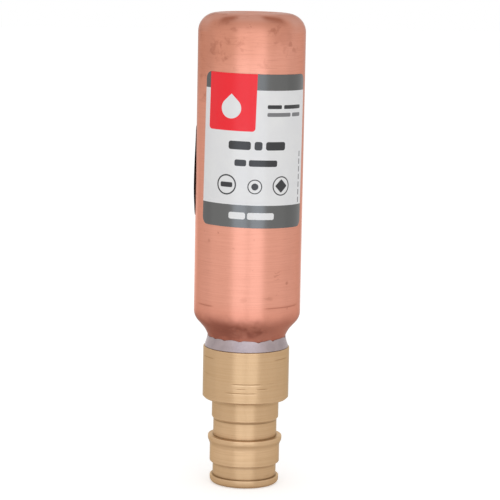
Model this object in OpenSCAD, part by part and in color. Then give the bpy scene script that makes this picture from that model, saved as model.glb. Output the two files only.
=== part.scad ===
// Water hammer arrestor: a sealed copper air chamber with a sliding piston inside,
// soldered into a turned brass adapter with an expansion-tube insert.
// The axis is Z and the origin is the middle of the insert's end face.

/* [Copper chamber] */
// Outside diameter of the copper tube
tube_d = 22.5; // [21:0.1:25]
// Wall of the copper
tube_wall = 1.1; // [0.8:0.05:1.3]
// Height of the closed top above the adapter's rim
chamber_h = 70.4; // [64:0.05:90]
// Radius of the corner round the closed top
crown_round = 3.9; // [2.5:0.1:6]
// Outside diameter of the stub that the tube is necked down to
stub_d = 15.88; // [14.4:0.02:16.6]
// Straight stub left above the adapter's rim
stub_rise = 0.5; // [0.2:0.1:1.5]
// Hollow round from the stub into the neck
neck_round = 6; // [3:0.1:7]
// Round from the neck out to the tube
shoulder_round = 3; // [2:0.1:4]
// Steepest lean of the neck from the axis
neck_slope = 42; // [35:1:48]

/* [Brass adapter] */
// Bore of the water way
bore_d = 10.2; // [8:0.1:11]
// Break on the edge of the water way
bore_break = 0.4; // [0.1:0.1:0.6]
// Diameter at the bottom of the insert's grooves
groove_d = 13.5; // [12.8:0.1:15]
// Height of the bead at the insert's end
bead_h = 1.75; // [1.4:0.05:2.5]
// Height that the bead stands out from the grooves
bead_step = 0.6; // [0.4:0.05:0.66]
// Round on the bead's outer lower edge
bead_round = 1; // [0.5:0.1:1.3]
// Length of the groove above the bead
lower_groove_h = 2.9; // [2:0.1:4]
// Length of the sealing land below the barb
land_h = 3.45; // [2.5:0.05:5]
// Height that the sealing land stands out from the grooves
land_step = 0.67; // [0.66:0.01:0.9]
// Height that the barb stands out from the sealing land
barb_step = 0.45; // [0.4:0.01:0.8]
// Length of the straight lip at the top of the barb
barb_lip_h = 0.6; // [0.4:0.1:1]
// Hollow round from the sealing land into the barb
barb_hollow = 2; // [1:0.1:2.5]
// Round from the barb's slope to its lip
barb_round = 1.2; // [0.6:0.1:1.5]
// Lean of the barb from the axis
barb_slope = 25; // [18:1:27]
// Length of the groove above the barb
upper_groove_h = 3.55; // [2.5:0.05:5]
// Height that the root stands out from the grooves
root_step = 0.35; // [0.2:0.05:0.6]
// Height of the taper from the upper groove to the root
root_taper_h = 0.5; // [0.3:0.1:1]
// Length of the root below the collar
root_h = 4.55; // [3:0.05:6]
// Height of the collar
collar_h = 11.15; // [10.5:0.05:14]
// Wall of the collar around the solder cup
collar_wall = 1.14; // [0.8:0.02:1.5]
// Depth of the solder cup
cup_depth = 9.5; // [7:0.1:10]
// Break on the insert's outer edges
edge_break = 0.2; // [0.1:0.05:0.3]
// Chamfer on the collar's lower edge
collar_chamfer = 0.4; // [0.2:0.1:0.8]

/* [Solder] */
// Gap all round between the stub and its cup
solder_gap = 0.06; // [0.03:0.01:0.1]
// Height of the solder ring above the rim
solder_h = 2.35; // [1.5:0.05:2.6]
// Thickness of the ring at its upper edge
solder_edge = 0.08; // [0.05:0.01:0.15]

/* [Piston] */
// Gap all round between the piston and the chamber
piston_gap = 0.15; // [0.1:0.01:0.25]
// Depth of the piston's nose below the tube's straight bore
nose_h = 2.2; // [1:0.1:2.4]
// Height of the lower seal above the start of the straight bore
seal_rise = 2.4; // [2.2:0.1:4]
// Spacing of the two seals
seal_pitch = 6; // [5:0.1:9]
// Land above the upper seal
top_land = 2; // [1.5:0.1:4]
// Solid floor of the piston
piston_floor = 5; // [3:0.1:8]
// Wall between the seal grooves and the hollow
piston_wall = 2.5; // [1.5:0.1:3]
// Chamfer on the piston's upper edge
piston_chamfer = 0.5; // [0.2:0.1:0.8]

/* [Seals] */
// Cord thickness of a seal ring before it is squeezed
seal_cord = 2.62; // [2:0.01:3]
// Share of the cord that the bore squeezes out
seal_squeeze = 0.145; // [0.08:0.005:0.25]
// Running gap between a seal and the chamber
seal_gap = 0.05; // [0.03:0.01:0.08]
// Gap between a seal and the floor of its groove
seal_seat = 0.02; // [0.01:0.01:0.04]
// Free width in a seal groove
seal_play = 0.7; // [0.3:0.05:1.2]

/* [Labels] */
// Thickness of a label film
label_t = 0.1; // [0.05:0.01:0.2]
// Adhesive under a label
label_glue = 0.02; // [0.01:0.01:0.05]
// Radius of a label's corners
label_corner = 1.5; // [0.5:0.1:3]
// Width of the front label, along the wall
front_label_w = 24.8; // [18:0.1:28]
// Height of the front label
front_label_h = 31.8; // [20:0.1:34]
// Distance from the closed top down to the front label
front_label_drop = 11.9; // [8:0.1:14]
// Turn of the front label off the tube's axis
front_label_skew = 1.4; // [-3:0.1:3]
// Width of the rear label, along the wall
rear_label_w = 32.6; // [22:0.1:33]
// Height of the rear label
rear_label_h = 19; // [12:0.1:30]
// Distance from the closed top down to the rear label
rear_label_drop = 23.8; // [14:0.1:26]

/* [Hidden] */
$fn = 96;
// How far a cutting shape runs past what it cuts
cut = 1;
// Most of a step that the rounds of a flare may take up
flare_share = 0.95;

// Insert, from its end upwards
bore_r = bore_d / 2;
groove_r = groove_d / 2;
bead_r = groove_r + bead_step;
land_r = groove_r + land_step;
barb_r = land_r + barb_step;
root_r = groove_r + root_step;
land_z = bead_h + lower_groove_h;
barb_z = land_z + land_h;
barb_rounds = fitted_rounds(barb_step, barb_hollow, barb_round, barb_slope);
lip_z = barb_z + flare_height(barb_step, barb_rounds, barb_slope);
upper_groove_z = lip_z + barb_lip_h;
root_z = upper_groove_z + upper_groove_h;
collar_z = root_z + root_h;

// Collar and solder cup
stub_r = stub_d / 2;
cup_r = stub_r + solder_gap;
collar_r = cup_r + collar_wall;
rim_z = collar_z + collar_h;
cup_z = rim_z - cup_depth;

// Chamber
tube_r = tube_d / 2;
tube_bore_r = tube_r - tube_wall;
neck_z = rim_z + stub_rise;
neck_rounds = fitted_rounds(tube_r - stub_r, neck_round, shoulder_round, neck_slope);
shoulder_z = neck_z + flare_height(tube_r - stub_r, neck_rounds, neck_slope);
top_z = rim_z + chamber_h;
crown_z = top_z - crown_round;

// Solder ring
solder_z = rim_z + solder_h;
solder_foot_r = collar_r - edge_break;
solder_top_r = neck_radius(solder_z) + solder_edge;
solder_flare = solder_foot_r - solder_top_r;
solder_round = (solder_h * solder_h + solder_flare * solder_flare) / (2 * solder_flare);

// Piston and seals
squeezed = seal_cord * (1 - seal_squeeze);
seal_flat = PI * (seal_cord * seal_cord - squeezed * squeezed) / (4 * squeezed);
seal_groove_h = squeezed + seal_flat + seal_play;
seal_groove_r = tube_bore_r - seal_gap - squeezed - seal_seat;
seal_mid_r = seal_groove_r + seal_seat + squeezed / 2;
lower_seal_z = shoulder_z + seal_rise;
upper_seal_z = lower_seal_z + seal_pitch;
piston_r = tube_bore_r - piston_gap;
piston_z = shoulder_z - nose_h;
piston_top_z = upper_seal_z + seal_groove_h / 2 + top_land;
hollow_r = seal_groove_r - piston_wall;

// Labels
// Overlap that keeps a corner's round from running out along an edge
corner_lap = 0.04;
label_r = tube_r + label_glue;
front_label_z = top_z - front_label_drop - front_label_h / 2;
rear_label_z = top_z - rear_label_drop - rear_label_h / 2;

// A flare runs from a lower radius out to a wider one: a hollow round, a straight slope and a round.
// The two rounds shrink together where the step between the radii is too small for them.
function fitted_rounds(reach, hollow, outer, slope) =
    let (full = (hollow + outer) * (1 - cos(slope)))
    [hollow, outer] * min(1, flare_share * reach / full);
function flare_height(reach, rounds, slope) =
    let (sum = rounds[0] + rounds[1])
    sum * sin(slope) + (reach - sum * (1 - cos(slope))) / tan(slope);

// Radius of the copper neck at a height on its hollow round
function neck_radius(z) =
    let (hollow = neck_rounds[0])
    stub_r + hollow - sqrt(hollow * hollow - (z - neck_z) * (z - neck_z));

// Half section of a flare between two points, drawn from the axis and drawn in by inset
module flare_outline(low, high, rounds, slope, inset = 0) {
    away = [cos(slope), -sin(slope)];
    hollow_mid = [low[0] + rounds[0], low[1]];
    round_mid = [high[0] - rounds[1], high[1]];
    hollow_end = hollow_mid - (rounds[0] + inset) * away;
    round_start = round_mid + (rounds[1] - inset) * away;
    difference() {
        union() {
            polygon([
                [0, low[1]],
                [low[0] - inset, low[1]],
                hollow_end,
                round_start,
                [high[0] - inset, high[1]],
                [0, high[1]]
            ]);
            intersection() {
                translate(round_mid) circle(rounds[1] - inset);
                translate([0, low[1]]) square([high[0], high[1] - low[1]]);
            }
        }
        translate(hollow_mid) circle(rounds[0] + inset);
    }
}

// Half section of the chamber, filled to the axis and drawn in by inset
module chamber_outline(inset, start_z) {
    translate([0, start_z]) square([stub_r - inset, neck_z - start_z]);
    flare_outline([stub_r, neck_z], [tube_r, shoulder_z], neck_rounds, neck_slope, inset);
    translate([0, shoulder_z]) square([tube_r - inset, crown_z - shoulder_z]);
    translate([0, crown_z]) square([tube_r - crown_round, crown_round - inset]);
    intersection() {
        translate([tube_r - crown_round, crown_z]) circle(crown_round - inset);
        translate([tube_r - crown_round, crown_z]) square(crown_round);
    }
}

// Spun copper tube, closed at the top and necked to a stub below
module copper_chamber() {
    color([0.85, 0.57, 0.47])
        rotate_extrude()
            difference() {
                chamber_outline(0, cup_z);
                chamber_outline(tube_wall, cup_z - cut);
            }
}

// Half section of the bead at the insert's end
module bead_outline() {
    intersection() {
        translate([bead_r - bead_round, bead_round]) circle(bead_round);
        square([bead_r, bead_round]);
    }
    square([bead_r - bead_round, bead_round]);
    polygon([
        [0, bead_round],
        [bead_r, bead_round],
        [bead_r, bead_h - edge_break],
        [bead_r - edge_break, bead_h],
        [0, bead_h]
    ]);
}

// Half section of the sealing land and the barb above it
module barb_outline() {
    polygon([
        [0, land_z],
        [land_r - edge_break, land_z],
        [land_r, land_z + edge_break],
        [land_r, barb_z],
        [0, barb_z]
    ]);
    flare_outline([land_r, barb_z], [barb_r, lip_z], barb_rounds, barb_slope);
    polygon([
        [0, lip_z],
        [barb_r, lip_z],
        [barb_r, upper_groove_z - edge_break],
        [barb_r - edge_break, upper_groove_z],
        [0, upper_groove_z]
    ]);
}

// Half section of the root and the collar
module collar_outline() {
    polygon([
        [0, root_z],
        [groove_r, root_z],
        [root_r, root_z + root_taper_h],
        [root_r, collar_z],
        [0, collar_z]
    ]);
    polygon([
        [0, collar_z],
        [collar_r - collar_chamfer, collar_z],
        [collar_r, collar_z + collar_chamfer],
        [collar_r, rim_z - edge_break],
        [collar_r - edge_break, rim_z],
        [0, rim_z]
    ]);
}

// Half section of the water way, with the solder cup at its upper end
module water_way() {
    polygon([
        [0, 0],
        [bore_r + bore_break, 0],
        [bore_r, bore_break],
        [bore_r, cup_z],
        [cup_r, cup_z],
        [cup_r, rim_z],
        [0, rim_z]
    ]);
}

// Turned brass adapter: a barbed insert for expanded tube below a solder cup
module pex_adapter() {
    color([0.78, 0.65, 0.47])
        rotate_extrude()
            difference() {
                union() {
                    bead_outline();
                    square([groove_r, root_z]);
                    barb_outline();
                    collar_outline();
                }
                water_way();
            }
}

// Ring of solder that fills the corner between the rim and the neck
module solder_joint() {
    color([0.68, 0.65, 0.66])
        rotate_extrude()
            difference() {
                polygon([
                    [0, rim_z],
                    [solder_foot_r, rim_z],
                    [solder_top_r, solder_z],
                    [0, solder_z]
                ]);
                translate([solder_top_r + solder_round, solder_z]) circle(solder_round);
                chamber_outline(0, cup_z);
            }
}

// Half section of the groove that holds one seal
module seal_groove(z) {
    translate([seal_groove_r, z - seal_groove_h / 2])
        square([squeezed + cut, seal_groove_h]);
}

// Moulded piston that follows the chamber's bore and neck at an even gap
module piston() {
    color([0.85, 0.85, 0.82])
        rotate_extrude()
            difference() {
                intersection() {
                    chamber_outline(tube_wall + piston_gap, cup_z);
                    translate([0, piston_z]) square([tube_r, piston_top_z - piston_z]);
                }
                seal_groove(lower_seal_z);
                seal_groove(upper_seal_z);
                translate([0, piston_z + piston_floor])
                    square([hollow_r, piston_top_z - piston_z]);
                polygon([
                    [piston_r - piston_chamfer, piston_top_z],
                    [piston_r, piston_top_z - piston_chamfer],
                    [piston_r, piston_top_z]
                ]);
            }
}

// Seal ring in its squeezed form, flat where it meets the bore and its groove
module seal_ring(z) {
    color([0.1, 0.1, 0.11])
        rotate_extrude()
            translate([seal_mid_r, z]) {
                translate([-squeezed / 2, -seal_flat / 2]) square([squeezed, seal_flat]);
                for (side = [-1, 1])
                    translate([0, side * seal_flat / 2]) circle(squeezed / 2);
            }
}

module lower_o_ring() {
    seal_ring(lower_seal_z);
}

module upper_o_ring() {
    seal_ring(upper_seal_z);
}

// Places children on the tube's wall, at a distance along and up a label turned by skew.
// Their X runs along the label, their Z runs up it, and their Y points into the tube.
module on_label(turn, mid_z, skew, along, up) {
    bearing = (along + up * tan(skew)) / label_r * 180 / PI;
    rise = up - label_r * sin(bearing) * tan(skew);
    rotate([0, 0, turn + bearing])
        translate([0, -label_r, mid_z + rise])
            rotate([0, skew, 0])
                children();
}

// What lies outside one rounded corner, with the corner's round centred on the origin
module corner_waste(side, level) {
    size = label_corner + cut;
    difference() {
        translate([side < 0 ? -size : 0, -cut, level < 0 ? -size : 0])
            cube([size, 2 * cut, size]);
        rotate([90, 0, 0])
            cylinder(h = 4 * cut, r = label_corner, center = true);
    }
}

// Thin film around the tube's wall, cut to a label with round corners
module label_film(turn, mid_z, skew, w, h) {
    band = h + w;
    far = 4 * band;
    corner_x = w / 2 - label_corner + corner_lap;
    corner_z = h / 2 - label_corner + corner_lap;
    difference() {
        translate([0, 0, mid_z - band / 2])
            difference() {
                cylinder(h = band, r = label_r + label_t);
                translate([0, 0, -cut]) cylinder(h = band + 2 * cut, r = label_r);
            }
        for (side = [-1, 1]) {
            on_label(turn, mid_z, skew, side * w / 2, 0)
                translate([side * far / 2, 0, 0]) cube(far, center = true);
            on_label(turn, mid_z, skew, 0, side * h / 2)
                translate([0, 0, side * far / 2]) cube(far, center = true);
            for (level = [-1, 1])
                on_label(turn, mid_z, skew, side * corner_x, level * corner_z)
                    corner_waste(side, level);
        }
    }
}

module front_label() {
    color([0.85, 0.85, 0.85])
        label_film(0, front_label_z, front_label_skew, front_label_w, front_label_h);
}

module rear_label() {
    color([0.16, 0.12, 0.11])
        label_film(180, rear_label_z, 0, rear_label_w, rear_label_h);
}

copper_chamber();
pex_adapter();
solder_joint();
piston();
lower_o_ring();
upper_o_ring();
front_label();
rear_label();
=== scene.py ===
"""Looks of a water hammer arrestor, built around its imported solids.

Sizes in the classes are millimetres and angles are degrees, in the part's own frame: the axis is Z,
the origin is the middle of the insert's end face, and the front looks along -Y.
"""

import logging
from collections.abc import Sequence
from dataclasses import dataclass
from enum import Enum

import bpy
import numpy as np
from mathutils import Matrix, Vector
from numpy.typing import NDArray


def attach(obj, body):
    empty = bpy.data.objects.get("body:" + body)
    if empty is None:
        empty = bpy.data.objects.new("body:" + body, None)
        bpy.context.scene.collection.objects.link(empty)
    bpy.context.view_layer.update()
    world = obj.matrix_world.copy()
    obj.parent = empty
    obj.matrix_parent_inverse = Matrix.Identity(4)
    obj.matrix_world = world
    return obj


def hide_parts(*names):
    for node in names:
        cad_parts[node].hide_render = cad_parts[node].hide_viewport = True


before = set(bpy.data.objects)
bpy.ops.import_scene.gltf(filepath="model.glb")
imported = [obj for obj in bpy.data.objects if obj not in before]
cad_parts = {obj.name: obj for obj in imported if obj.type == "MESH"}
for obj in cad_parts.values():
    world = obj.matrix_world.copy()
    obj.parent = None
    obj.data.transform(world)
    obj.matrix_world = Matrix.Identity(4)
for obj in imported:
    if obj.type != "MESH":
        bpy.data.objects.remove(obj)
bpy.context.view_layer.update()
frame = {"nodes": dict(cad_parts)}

Values = NDArray[np.float64]
Shade = tuple[int, int, int]
Triple = tuple[float, float, float]
Spans = tuple[tuple[float, float], ...]
Socket = bpy.types.NodeSocket

MM = 0.001
TINY = 1e-6
HOUSING = "housing"
LABEL_MAP = "label"
LOG = logging.getLogger("arrestor")

# Sizes that several pieces share
TUBE_R = 11.25
STUB_R = 7.94
NECK_ROUND = 6.0
COLLAR_R = 9.14
# Start of the neck's round and the chamber's top, above the collar's rim
STUB_RISE = 0.5
CHAMBER_H = 70.4

# Edges that turn by more than this many degrees are shaded sharp
CREASE = 38.0
# A corner's mark is full from this turn on, and corners with larger rounds have none
SHARP_TURN = 45.0
SHARP_ROUND = 0.5
# A scratch has its own rows to this many widths on both sides, and its stretches fade over some degrees
SCORE_REACH = 1.6
SCORE_ROWS = 17
SCORE_FADE = 9.0
# Part of a soft ellipsoid's size that has its full value
BLOB_CORE = 0.3
# Width over which a printed shape's edge fades
INK_EDGE = 0.05
# How far a highlight is stretched across a turned surface, and the turn that lays it there
STRETCH = 0.8
STRETCH_TURN = 0.25
# Light of the strips in front
COOL = (0.88, 1.0, 1.18)


class Ink(Enum):
    """Inks of the label's print: the shade that each one dries to, and how metallic it is."""

    GREY = ((95, 95, 94), 1.0)
    RED = ((243, 10, 32), 0.0)
    DARK = ((40, 40, 42), 0.0)
    SOFT = ((120, 120, 122), 0.0)
    WHITE = ((230, 230, 230), 0.0)

    @property
    def shade(self) -> Shade:
        """The shade that it dries to."""
        return self.value[0]

    @property
    def metal(self) -> float:
        """How metallic it is, from 0 to 1."""
        return self.value[1]


class Mark(Enum):
    """Vertex attributes that the turned pieces carry for their finishes."""

    ALONG = "along"
    # Painted shade in inner corners, under ledges and where the solder meets the rim
    CREVICE = "crevice"
    # Painted highlight on outer corners
    EDGE = "edge"
    # Scratches, with painted highlights on the raised edges below some
    SCORE = "score"
    # Painted dark and pale reflections on the crown
    SMEAR = "smear"


class Serves(Enum):
    """Surfaces that a lamp lights."""

    MATTE = "matte"
    GLOSS = "gloss"


def linear(shade: Shade) -> tuple[float, float, float, float]:
    """Turns a shade as seen on a screen into scene light, by the screen's standard curve.

    Args:
        shade: Red, green and blue from 0 to 255.

    Returns:
        Linear red, green and blue, with an alpha of 1.
    """
    seen = np.array(shade, float) / 255.0
    light = np.where(seen <= 0.04045, seen / 12.92, ((seen + 0.055) / 1.055) ** 2.4)
    return (float(light[0]), float(light[1]), float(light[2]), 1.0)


def smoothstep(low: float, high: float, value: Values) -> Values:
    """Gives 0 below low, 1 above high, and the cubic 3t^2 - 2t^3 between them."""
    t = np.clip((value - low) / (high - low), 0.0, 1.0)
    return t * t * (3.0 - 2.0 * t)


def signed(turn: Values) -> Values:
    """Brings angles in degrees into the range from -180 to 180."""
    return (turn + 180.0) % 360.0 - 180.0


def bearings(columns: int) -> Values:
    """Gives each column's bearing from the front, in degrees from -180 to 180, towards +X."""
    return signed(360.0 * np.arange(columns) / columns + 90.0)


def stretches(bearing: Values, spans: Spans, soft: float) -> Values:
    """Gives 1 inside any of some spans of bearings, falling to 0 over a soft distance at their ends.

    Args:
        bearing: Bearings from the front.
        spans: First and last bearing of each span.
        soft: Degrees over which a span's end fades.

    Returns:
        The share at each bearing.
    """
    inside = np.zeros_like(bearing)
    for first, last in spans:
        half = (last - first) / 2.0
        off = np.abs(signed(bearing - (first + last) / 2.0))
        inside = np.maximum(inside, 1.0 - smoothstep(half - soft, half, off))
    return inside


# Sections and surfaces


@dataclass(frozen=True)
class Corner:
    """One corner of a half section, and the radius of the round that breaks it."""

    r: float
    z: float
    round: float = 0.0


@dataclass(frozen=True)
class Outline:
    """Points of a half section, in order, with what a finish needs to know at each.

    Attributes:
        r: Distance from the axis.
        z: Height.
        along: Length of the section up to the point.
        crevice: 1 in an inner corner, falling to 0 away from it, where shade is painted.
        edge: 1 on an outer corner, falling to 0 away from it, where a highlight is painted.
    """

    r: Values
    z: Values
    along: Values
    crevice: Values
    edge: Values


def fillet_arcs(at: Values, rounds: Values, closed: bool, steps: int) -> tuple[Values, Values]:
    """Breaks the corners of a polygon with tangent arcs.

    The arc of a corner starts round * tan(turn / 2) before it, and its points come from turning that
    start about the arc's centre, which lies one round to the side that the section turns to.

    Args:
        at: Corners, one row each.
        rounds: Radius of each corner's arc.
        closed: Whether the last corner leads back to the first.
        steps: Points on each arc.

    Returns:
        The arcs' points, by corner and step, and each corner's turn in radians, left turns positive.
    """
    before = np.roll(at, 1, axis=0)
    after = np.roll(at, -1, axis=0)
    into = (at - before) / np.linalg.norm(at - before, axis=1, keepdims=True)
    out = (after - at) / np.linalg.norm(after - at, axis=1, keepdims=True)
    turn = np.arctan2(into[:, 0] * out[:, 1] - into[:, 1] * out[:, 0], (into * out).sum(1))
    if not closed:
        turn[[0, -1]] = 0.0
    start = at - into * (rounds * np.tan(np.abs(turn) / 2.0))[:, None]
    side = np.stack([-into[:, 1], into[:, 0]], axis=1) * (rounds * np.sign(turn))[:, None]
    angle = turn[:, None] * np.linspace(0.0, 1.0, steps)[None, :]
    arm = -side[:, None, :]
    cos, sin = np.cos(angle), np.sin(angle)
    spun = np.stack([arm[..., 0] * cos - arm[..., 1] * sin, arm[..., 0] * sin + arm[..., 1] * cos], -1)
    return (start + side)[:, None, :] + spun, turn


def rounded_outline(
    corners: Sequence[Corner], closed: bool, spacing: float, steps: int = 9, fade: float = 0.12
) -> Outline:
    """Makes a half section from its corners, walked with the solid on the left.

    The points on a straight stretch crowd towards both of its ends by a cosine. A corner's mark is a
    Gaussian of the distance from the middle of its round.

    Args:
        corners: The section's corners, each with its round.
        closed: Whether the last corner leads back to the first.
        spacing: Mean distance between two points on a straight stretch.
        steps: Points on each round.
        fade: Distance over which a corner's mark fades.

    Returns:
        The section's points and their marks.
    """
    at = np.array([(c.r, c.z) for c in corners])
    rounds = np.array([c.round for c in corners])
    arcs, turn = fillet_arcs(at, rounds, closed, steps)
    points = arcs.reshape(-1, 2)
    if closed:
        points = np.vstack([points, points[:1]])
    step = np.linalg.norm(np.diff(points, axis=0), axis=1)
    points = points[np.concatenate([[True], step > TINY])]
    length = np.concatenate([[0.0], np.cumsum(np.linalg.norm(np.diff(points, axis=0), axis=1))])
    gaps = np.diff(length)
    counts = np.maximum(1, np.ceil(gaps / spacing)).astype(int)
    firsts = np.repeat(np.cumsum(counts) - counts, counts)
    phase = np.pi * (np.arange(counts.sum()) - firsts) / np.repeat(counts, counts)
    share = (1.0 - np.cos(phase)) / 2.0
    along = np.repeat(length[:-1], counts) + share * np.repeat(gaps, counts)
    if not closed:
        along = np.append(along, length[-1])
    r = np.interp(along, length, points[:, 0])
    z = np.interp(along, length, points[:, 1])
    mids = arcs[:, steps // 2]
    apart = np.hypot(r[:, None] - mids[None, :, 0], z[:, None] - mids[None, :, 1])
    near = np.exp(-((apart / fade) ** 2))
    sharp = np.minimum(1.0, np.abs(np.degrees(turn)) / SHARP_TURN) * (rounds < SHARP_ROUND)
    # Inner corners carry painted shade
    crevice = (near * (sharp * (turn < 0))[None, :]).max(1)
    # Outer corners carry a painted highlight
    edge = (near * (sharp * (turn > 0))[None, :]).max(1)
    return Outline(r, z, along, crevice, edge)


def new_object(name: str, points: Values, faces: list[list[int]]) -> bpy.types.Object:
    """Makes a smooth-shaded mesh object at the origin.

    Args:
        name: The object's name.
        points: Vertices in millimetres, one row each.
        faces: Vertex numbers of each face.

    Returns:
        The new object, in the scene.
    """
    mesh = bpy.data.meshes.new(name)
    mesh.from_pydata((points * MM).tolist(), [], faces)
    mesh.shade_smooth()
    mesh.set_sharp_from_angle(angle=np.radians(CREASE))
    made = bpy.data.objects.new(name, mesh)
    bpy.context.scene.collection.objects.link(made)
    return made


def turned_piece(
    name: str, r: Values, z: Values, marks: dict[Mark, Values], closed: bool
) -> bpy.types.Object:
    """Carries a half section round the axis.

    The vertex of section point i and column j is (r cos a, r sin a, z) with a = 2 pi j / columns. A row
    that lies on the axis is one vertex, with triangles around it.

    Args:
        name: The object's name.
        r: Distances from the axis, by section point and column.
        z: Heights, by section point and column.
        marks: Values for the finish, by section point and column.
        closed: Whether the section's last point leads back to its first.

    Returns:
        The new object.
    """
    rows, columns = r.shape
    angle = 2.0 * np.pi * np.arange(columns) / columns
    points = np.stack([r * np.cos(angle), r * np.sin(angle), z], axis=-1).reshape(-1, 3)
    number = np.arange(rows * columns).reshape(rows, columns)
    on_axis = r.max(1) < TINY
    number[on_axis] = number[on_axis][:, :1]
    used = np.zeros(rows * columns, bool)
    used[number.ravel()] = True
    number = (np.cumsum(used) - 1)[number]
    low = number if closed else number[:-1]
    high = np.roll(number, -1, axis=0) if closed else number[1:]
    quads = np.stack([low, np.roll(low, -1, 1), np.roll(high, -1, 1), high], -1).reshape(-1, 4)
    low_pole = quads[:, 0] == quads[:, 1]
    high_pole = quads[:, 2] == quads[:, 3]
    faces = quads[~low_pole & ~high_pole].tolist()
    faces += quads[low_pole][:, [0, 2, 3]].tolist()
    faces += quads[high_pole][:, [0, 1, 2]].tolist()
    made = new_object(name, points[used], faces)
    for mark, values in marks.items():
        layer = made.data.attributes.new(mark.value, "FLOAT", "POINT")
        spread = np.broadcast_to(values, r.shape).reshape(-1)[used]
        layer.data.foreach_set("value", spread.astype(np.float32))
    return made


@dataclass(frozen=True)
class Score:
    """A shallow broken line scratched round a turned piece.

    Attributes:
        z: Its height.
        r: About the radius that it is scratched into.
        width: Its width.
        depth: Its depth.
        spans: First and last bearing of each of its stretches.
        burr_highlight: Strength of the painted highlight on the raised edge below it.
    """

    z: float
    r: float
    width: float
    depth: float
    spans: Spans
    burr_highlight: float = 0.0

    def place_on(self, outline: Outline) -> float:
        """Gives the length of the section up to the line."""
        near = np.hypot(outline.r - self.r, outline.z - self.z)
        return float(outline.along[near.argmin()])

    def rows(self, outline: Outline) -> Values:
        """Gives the lengths of the section at which the line's own rows lie."""
        return self.place_on(outline) + np.linspace(-SCORE_REACH, SCORE_REACH, SCORE_ROWS) * self.width

    def cut(self, outline: Outline, along: Values, bearing: Values, below: float = 0.0) -> Values:
        """Gives the line's share of its depth: a Gaussian across it, and soft ends to its stretches.

        Args:
            outline: The section that it is scratched into.
            along: Length of the section at each row.
            bearing: Bearing of each column.
            below: How many widths below the line the Gaussian lies.

        Returns:
            The share by row and column, from 0 to 1.
        """
        off = along - self.place_on(outline) + below * self.width
        across = np.exp(-((off / (self.width / 2.0)) ** 2))
        return across[:, None] * stretches(bearing, self.spans, SCORE_FADE)[None, :]

    def mark(self, outline: Outline, along: Values, bearing: Values) -> Values:
        """Gives the line's mark for a finish: its cut, less a painted highlight on the raised edge one
        width below.

        Args:
            outline: The section that it is scratched into.
            along: Length of the section at each row.
            bearing: Bearing of each column.

        Returns:
            The mark by row and column, from -1 where the highlight is painted to 1.
        """
        return self.cut(outline, along, bearing) - self.burr_highlight * self.cut(outline, along, bearing, 1.0)


def with_rows(outline: Outline, scores: Sequence[Score]) -> Outline:
    """Gives a section the extra points that its scratched lines need, on the straight between its own.

    Args:
        outline: The section.
        scores: The lines.

    Returns:
        The section with those points.
    """
    along = np.unique(np.concatenate([outline.along, *(score.rows(outline) for score in scores)]))
    return Outline(
        np.interp(along, outline.along, outline.r),
        np.interp(along, outline.along, outline.z),
        along,
        np.interp(along, outline.along, outline.crevice),
        np.interp(along, outline.along, outline.edge),
    )


@dataclass(frozen=True)
class Wave:
    """A smooth irregular wave round the axis, about -1 to 1.

    Attributes:
        seed: Seed of its phases.
        lowest: Fewest waves in one turn.
        highest: Most waves in one turn.
    """

    seed: int
    lowest: int
    highest: int

    def at(self, angle: Values) -> Values:
        """Gives the wave at some angles.

        It is a sum of cosines of whole turns from lowest to highest, each with a random phase and a
        weight that falls as the square root of its number of turns.

        Args:
            angle: The angles in radians.

        Returns:
            The wave at each.
        """
        turns = np.arange(self.lowest, self.highest + 1)
        phase = np.random.default_rng(self.seed).uniform(0.0, 2.0 * np.pi, turns.size)
        weight = 1.0 / np.sqrt(turns)
        waves = np.cos(angle[..., None] * turns + phase) * weight
        return waves.sum(-1) / np.sqrt((weight**2).sum())


def settle(piece: bpy.types.Object, node: str) -> None:
    """Lets a piece stand for a CAD node on the housing, and reports it.

    Args:
        piece: The finished piece.
        node: CAD node that it stands for.
    """
    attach(piece, HOUSING)
    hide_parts(node)
    piece.data.calc_loop_triangles()
    LOG.info("%s stands for %s: %d triangles", piece.name, node, len(piece.data.loop_triangles))


# Finishes


@dataclass(frozen=True)
class Ramp:
    """A smooth step between two levels of a value.

    Attributes:
        low: Level at which it starts.
        high: Level at which it ends.
        first: What it gives up to its start.
        last: What it gives from its end on.
    """

    low: float
    high: float
    first: float = 0.0
    last: float = 1.0


@dataclass(frozen=True)
class Speckle:
    """A noise.

    Attributes:
        scale: Cells per unit of its coordinates.
        detail: How many finer layers it has.
        rough: How strong those layers are.
    """

    scale: float = 1.0
    detail: float = 3.0
    rough: float = 0.55


@dataclass(frozen=True)
class Rings:
    """A noise that lies in rings round the axis.

    Attributes:
        around: Cells per millimetre round the axis.
        across: Cells per millimetre along the section.
        detail: How many finer layers it has.
        rough: How strong those layers are.
    """

    around: float
    across: float
    detail: float = 3.0
    rough: float = 0.55


class Blend(Enum):
    """What a Mix node blends: its data type, and the ending of its sockets' identifiers."""

    COLOUR = ("RGBA", "Color")
    NUMBER = ("FLOAT", "Float")


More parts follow.
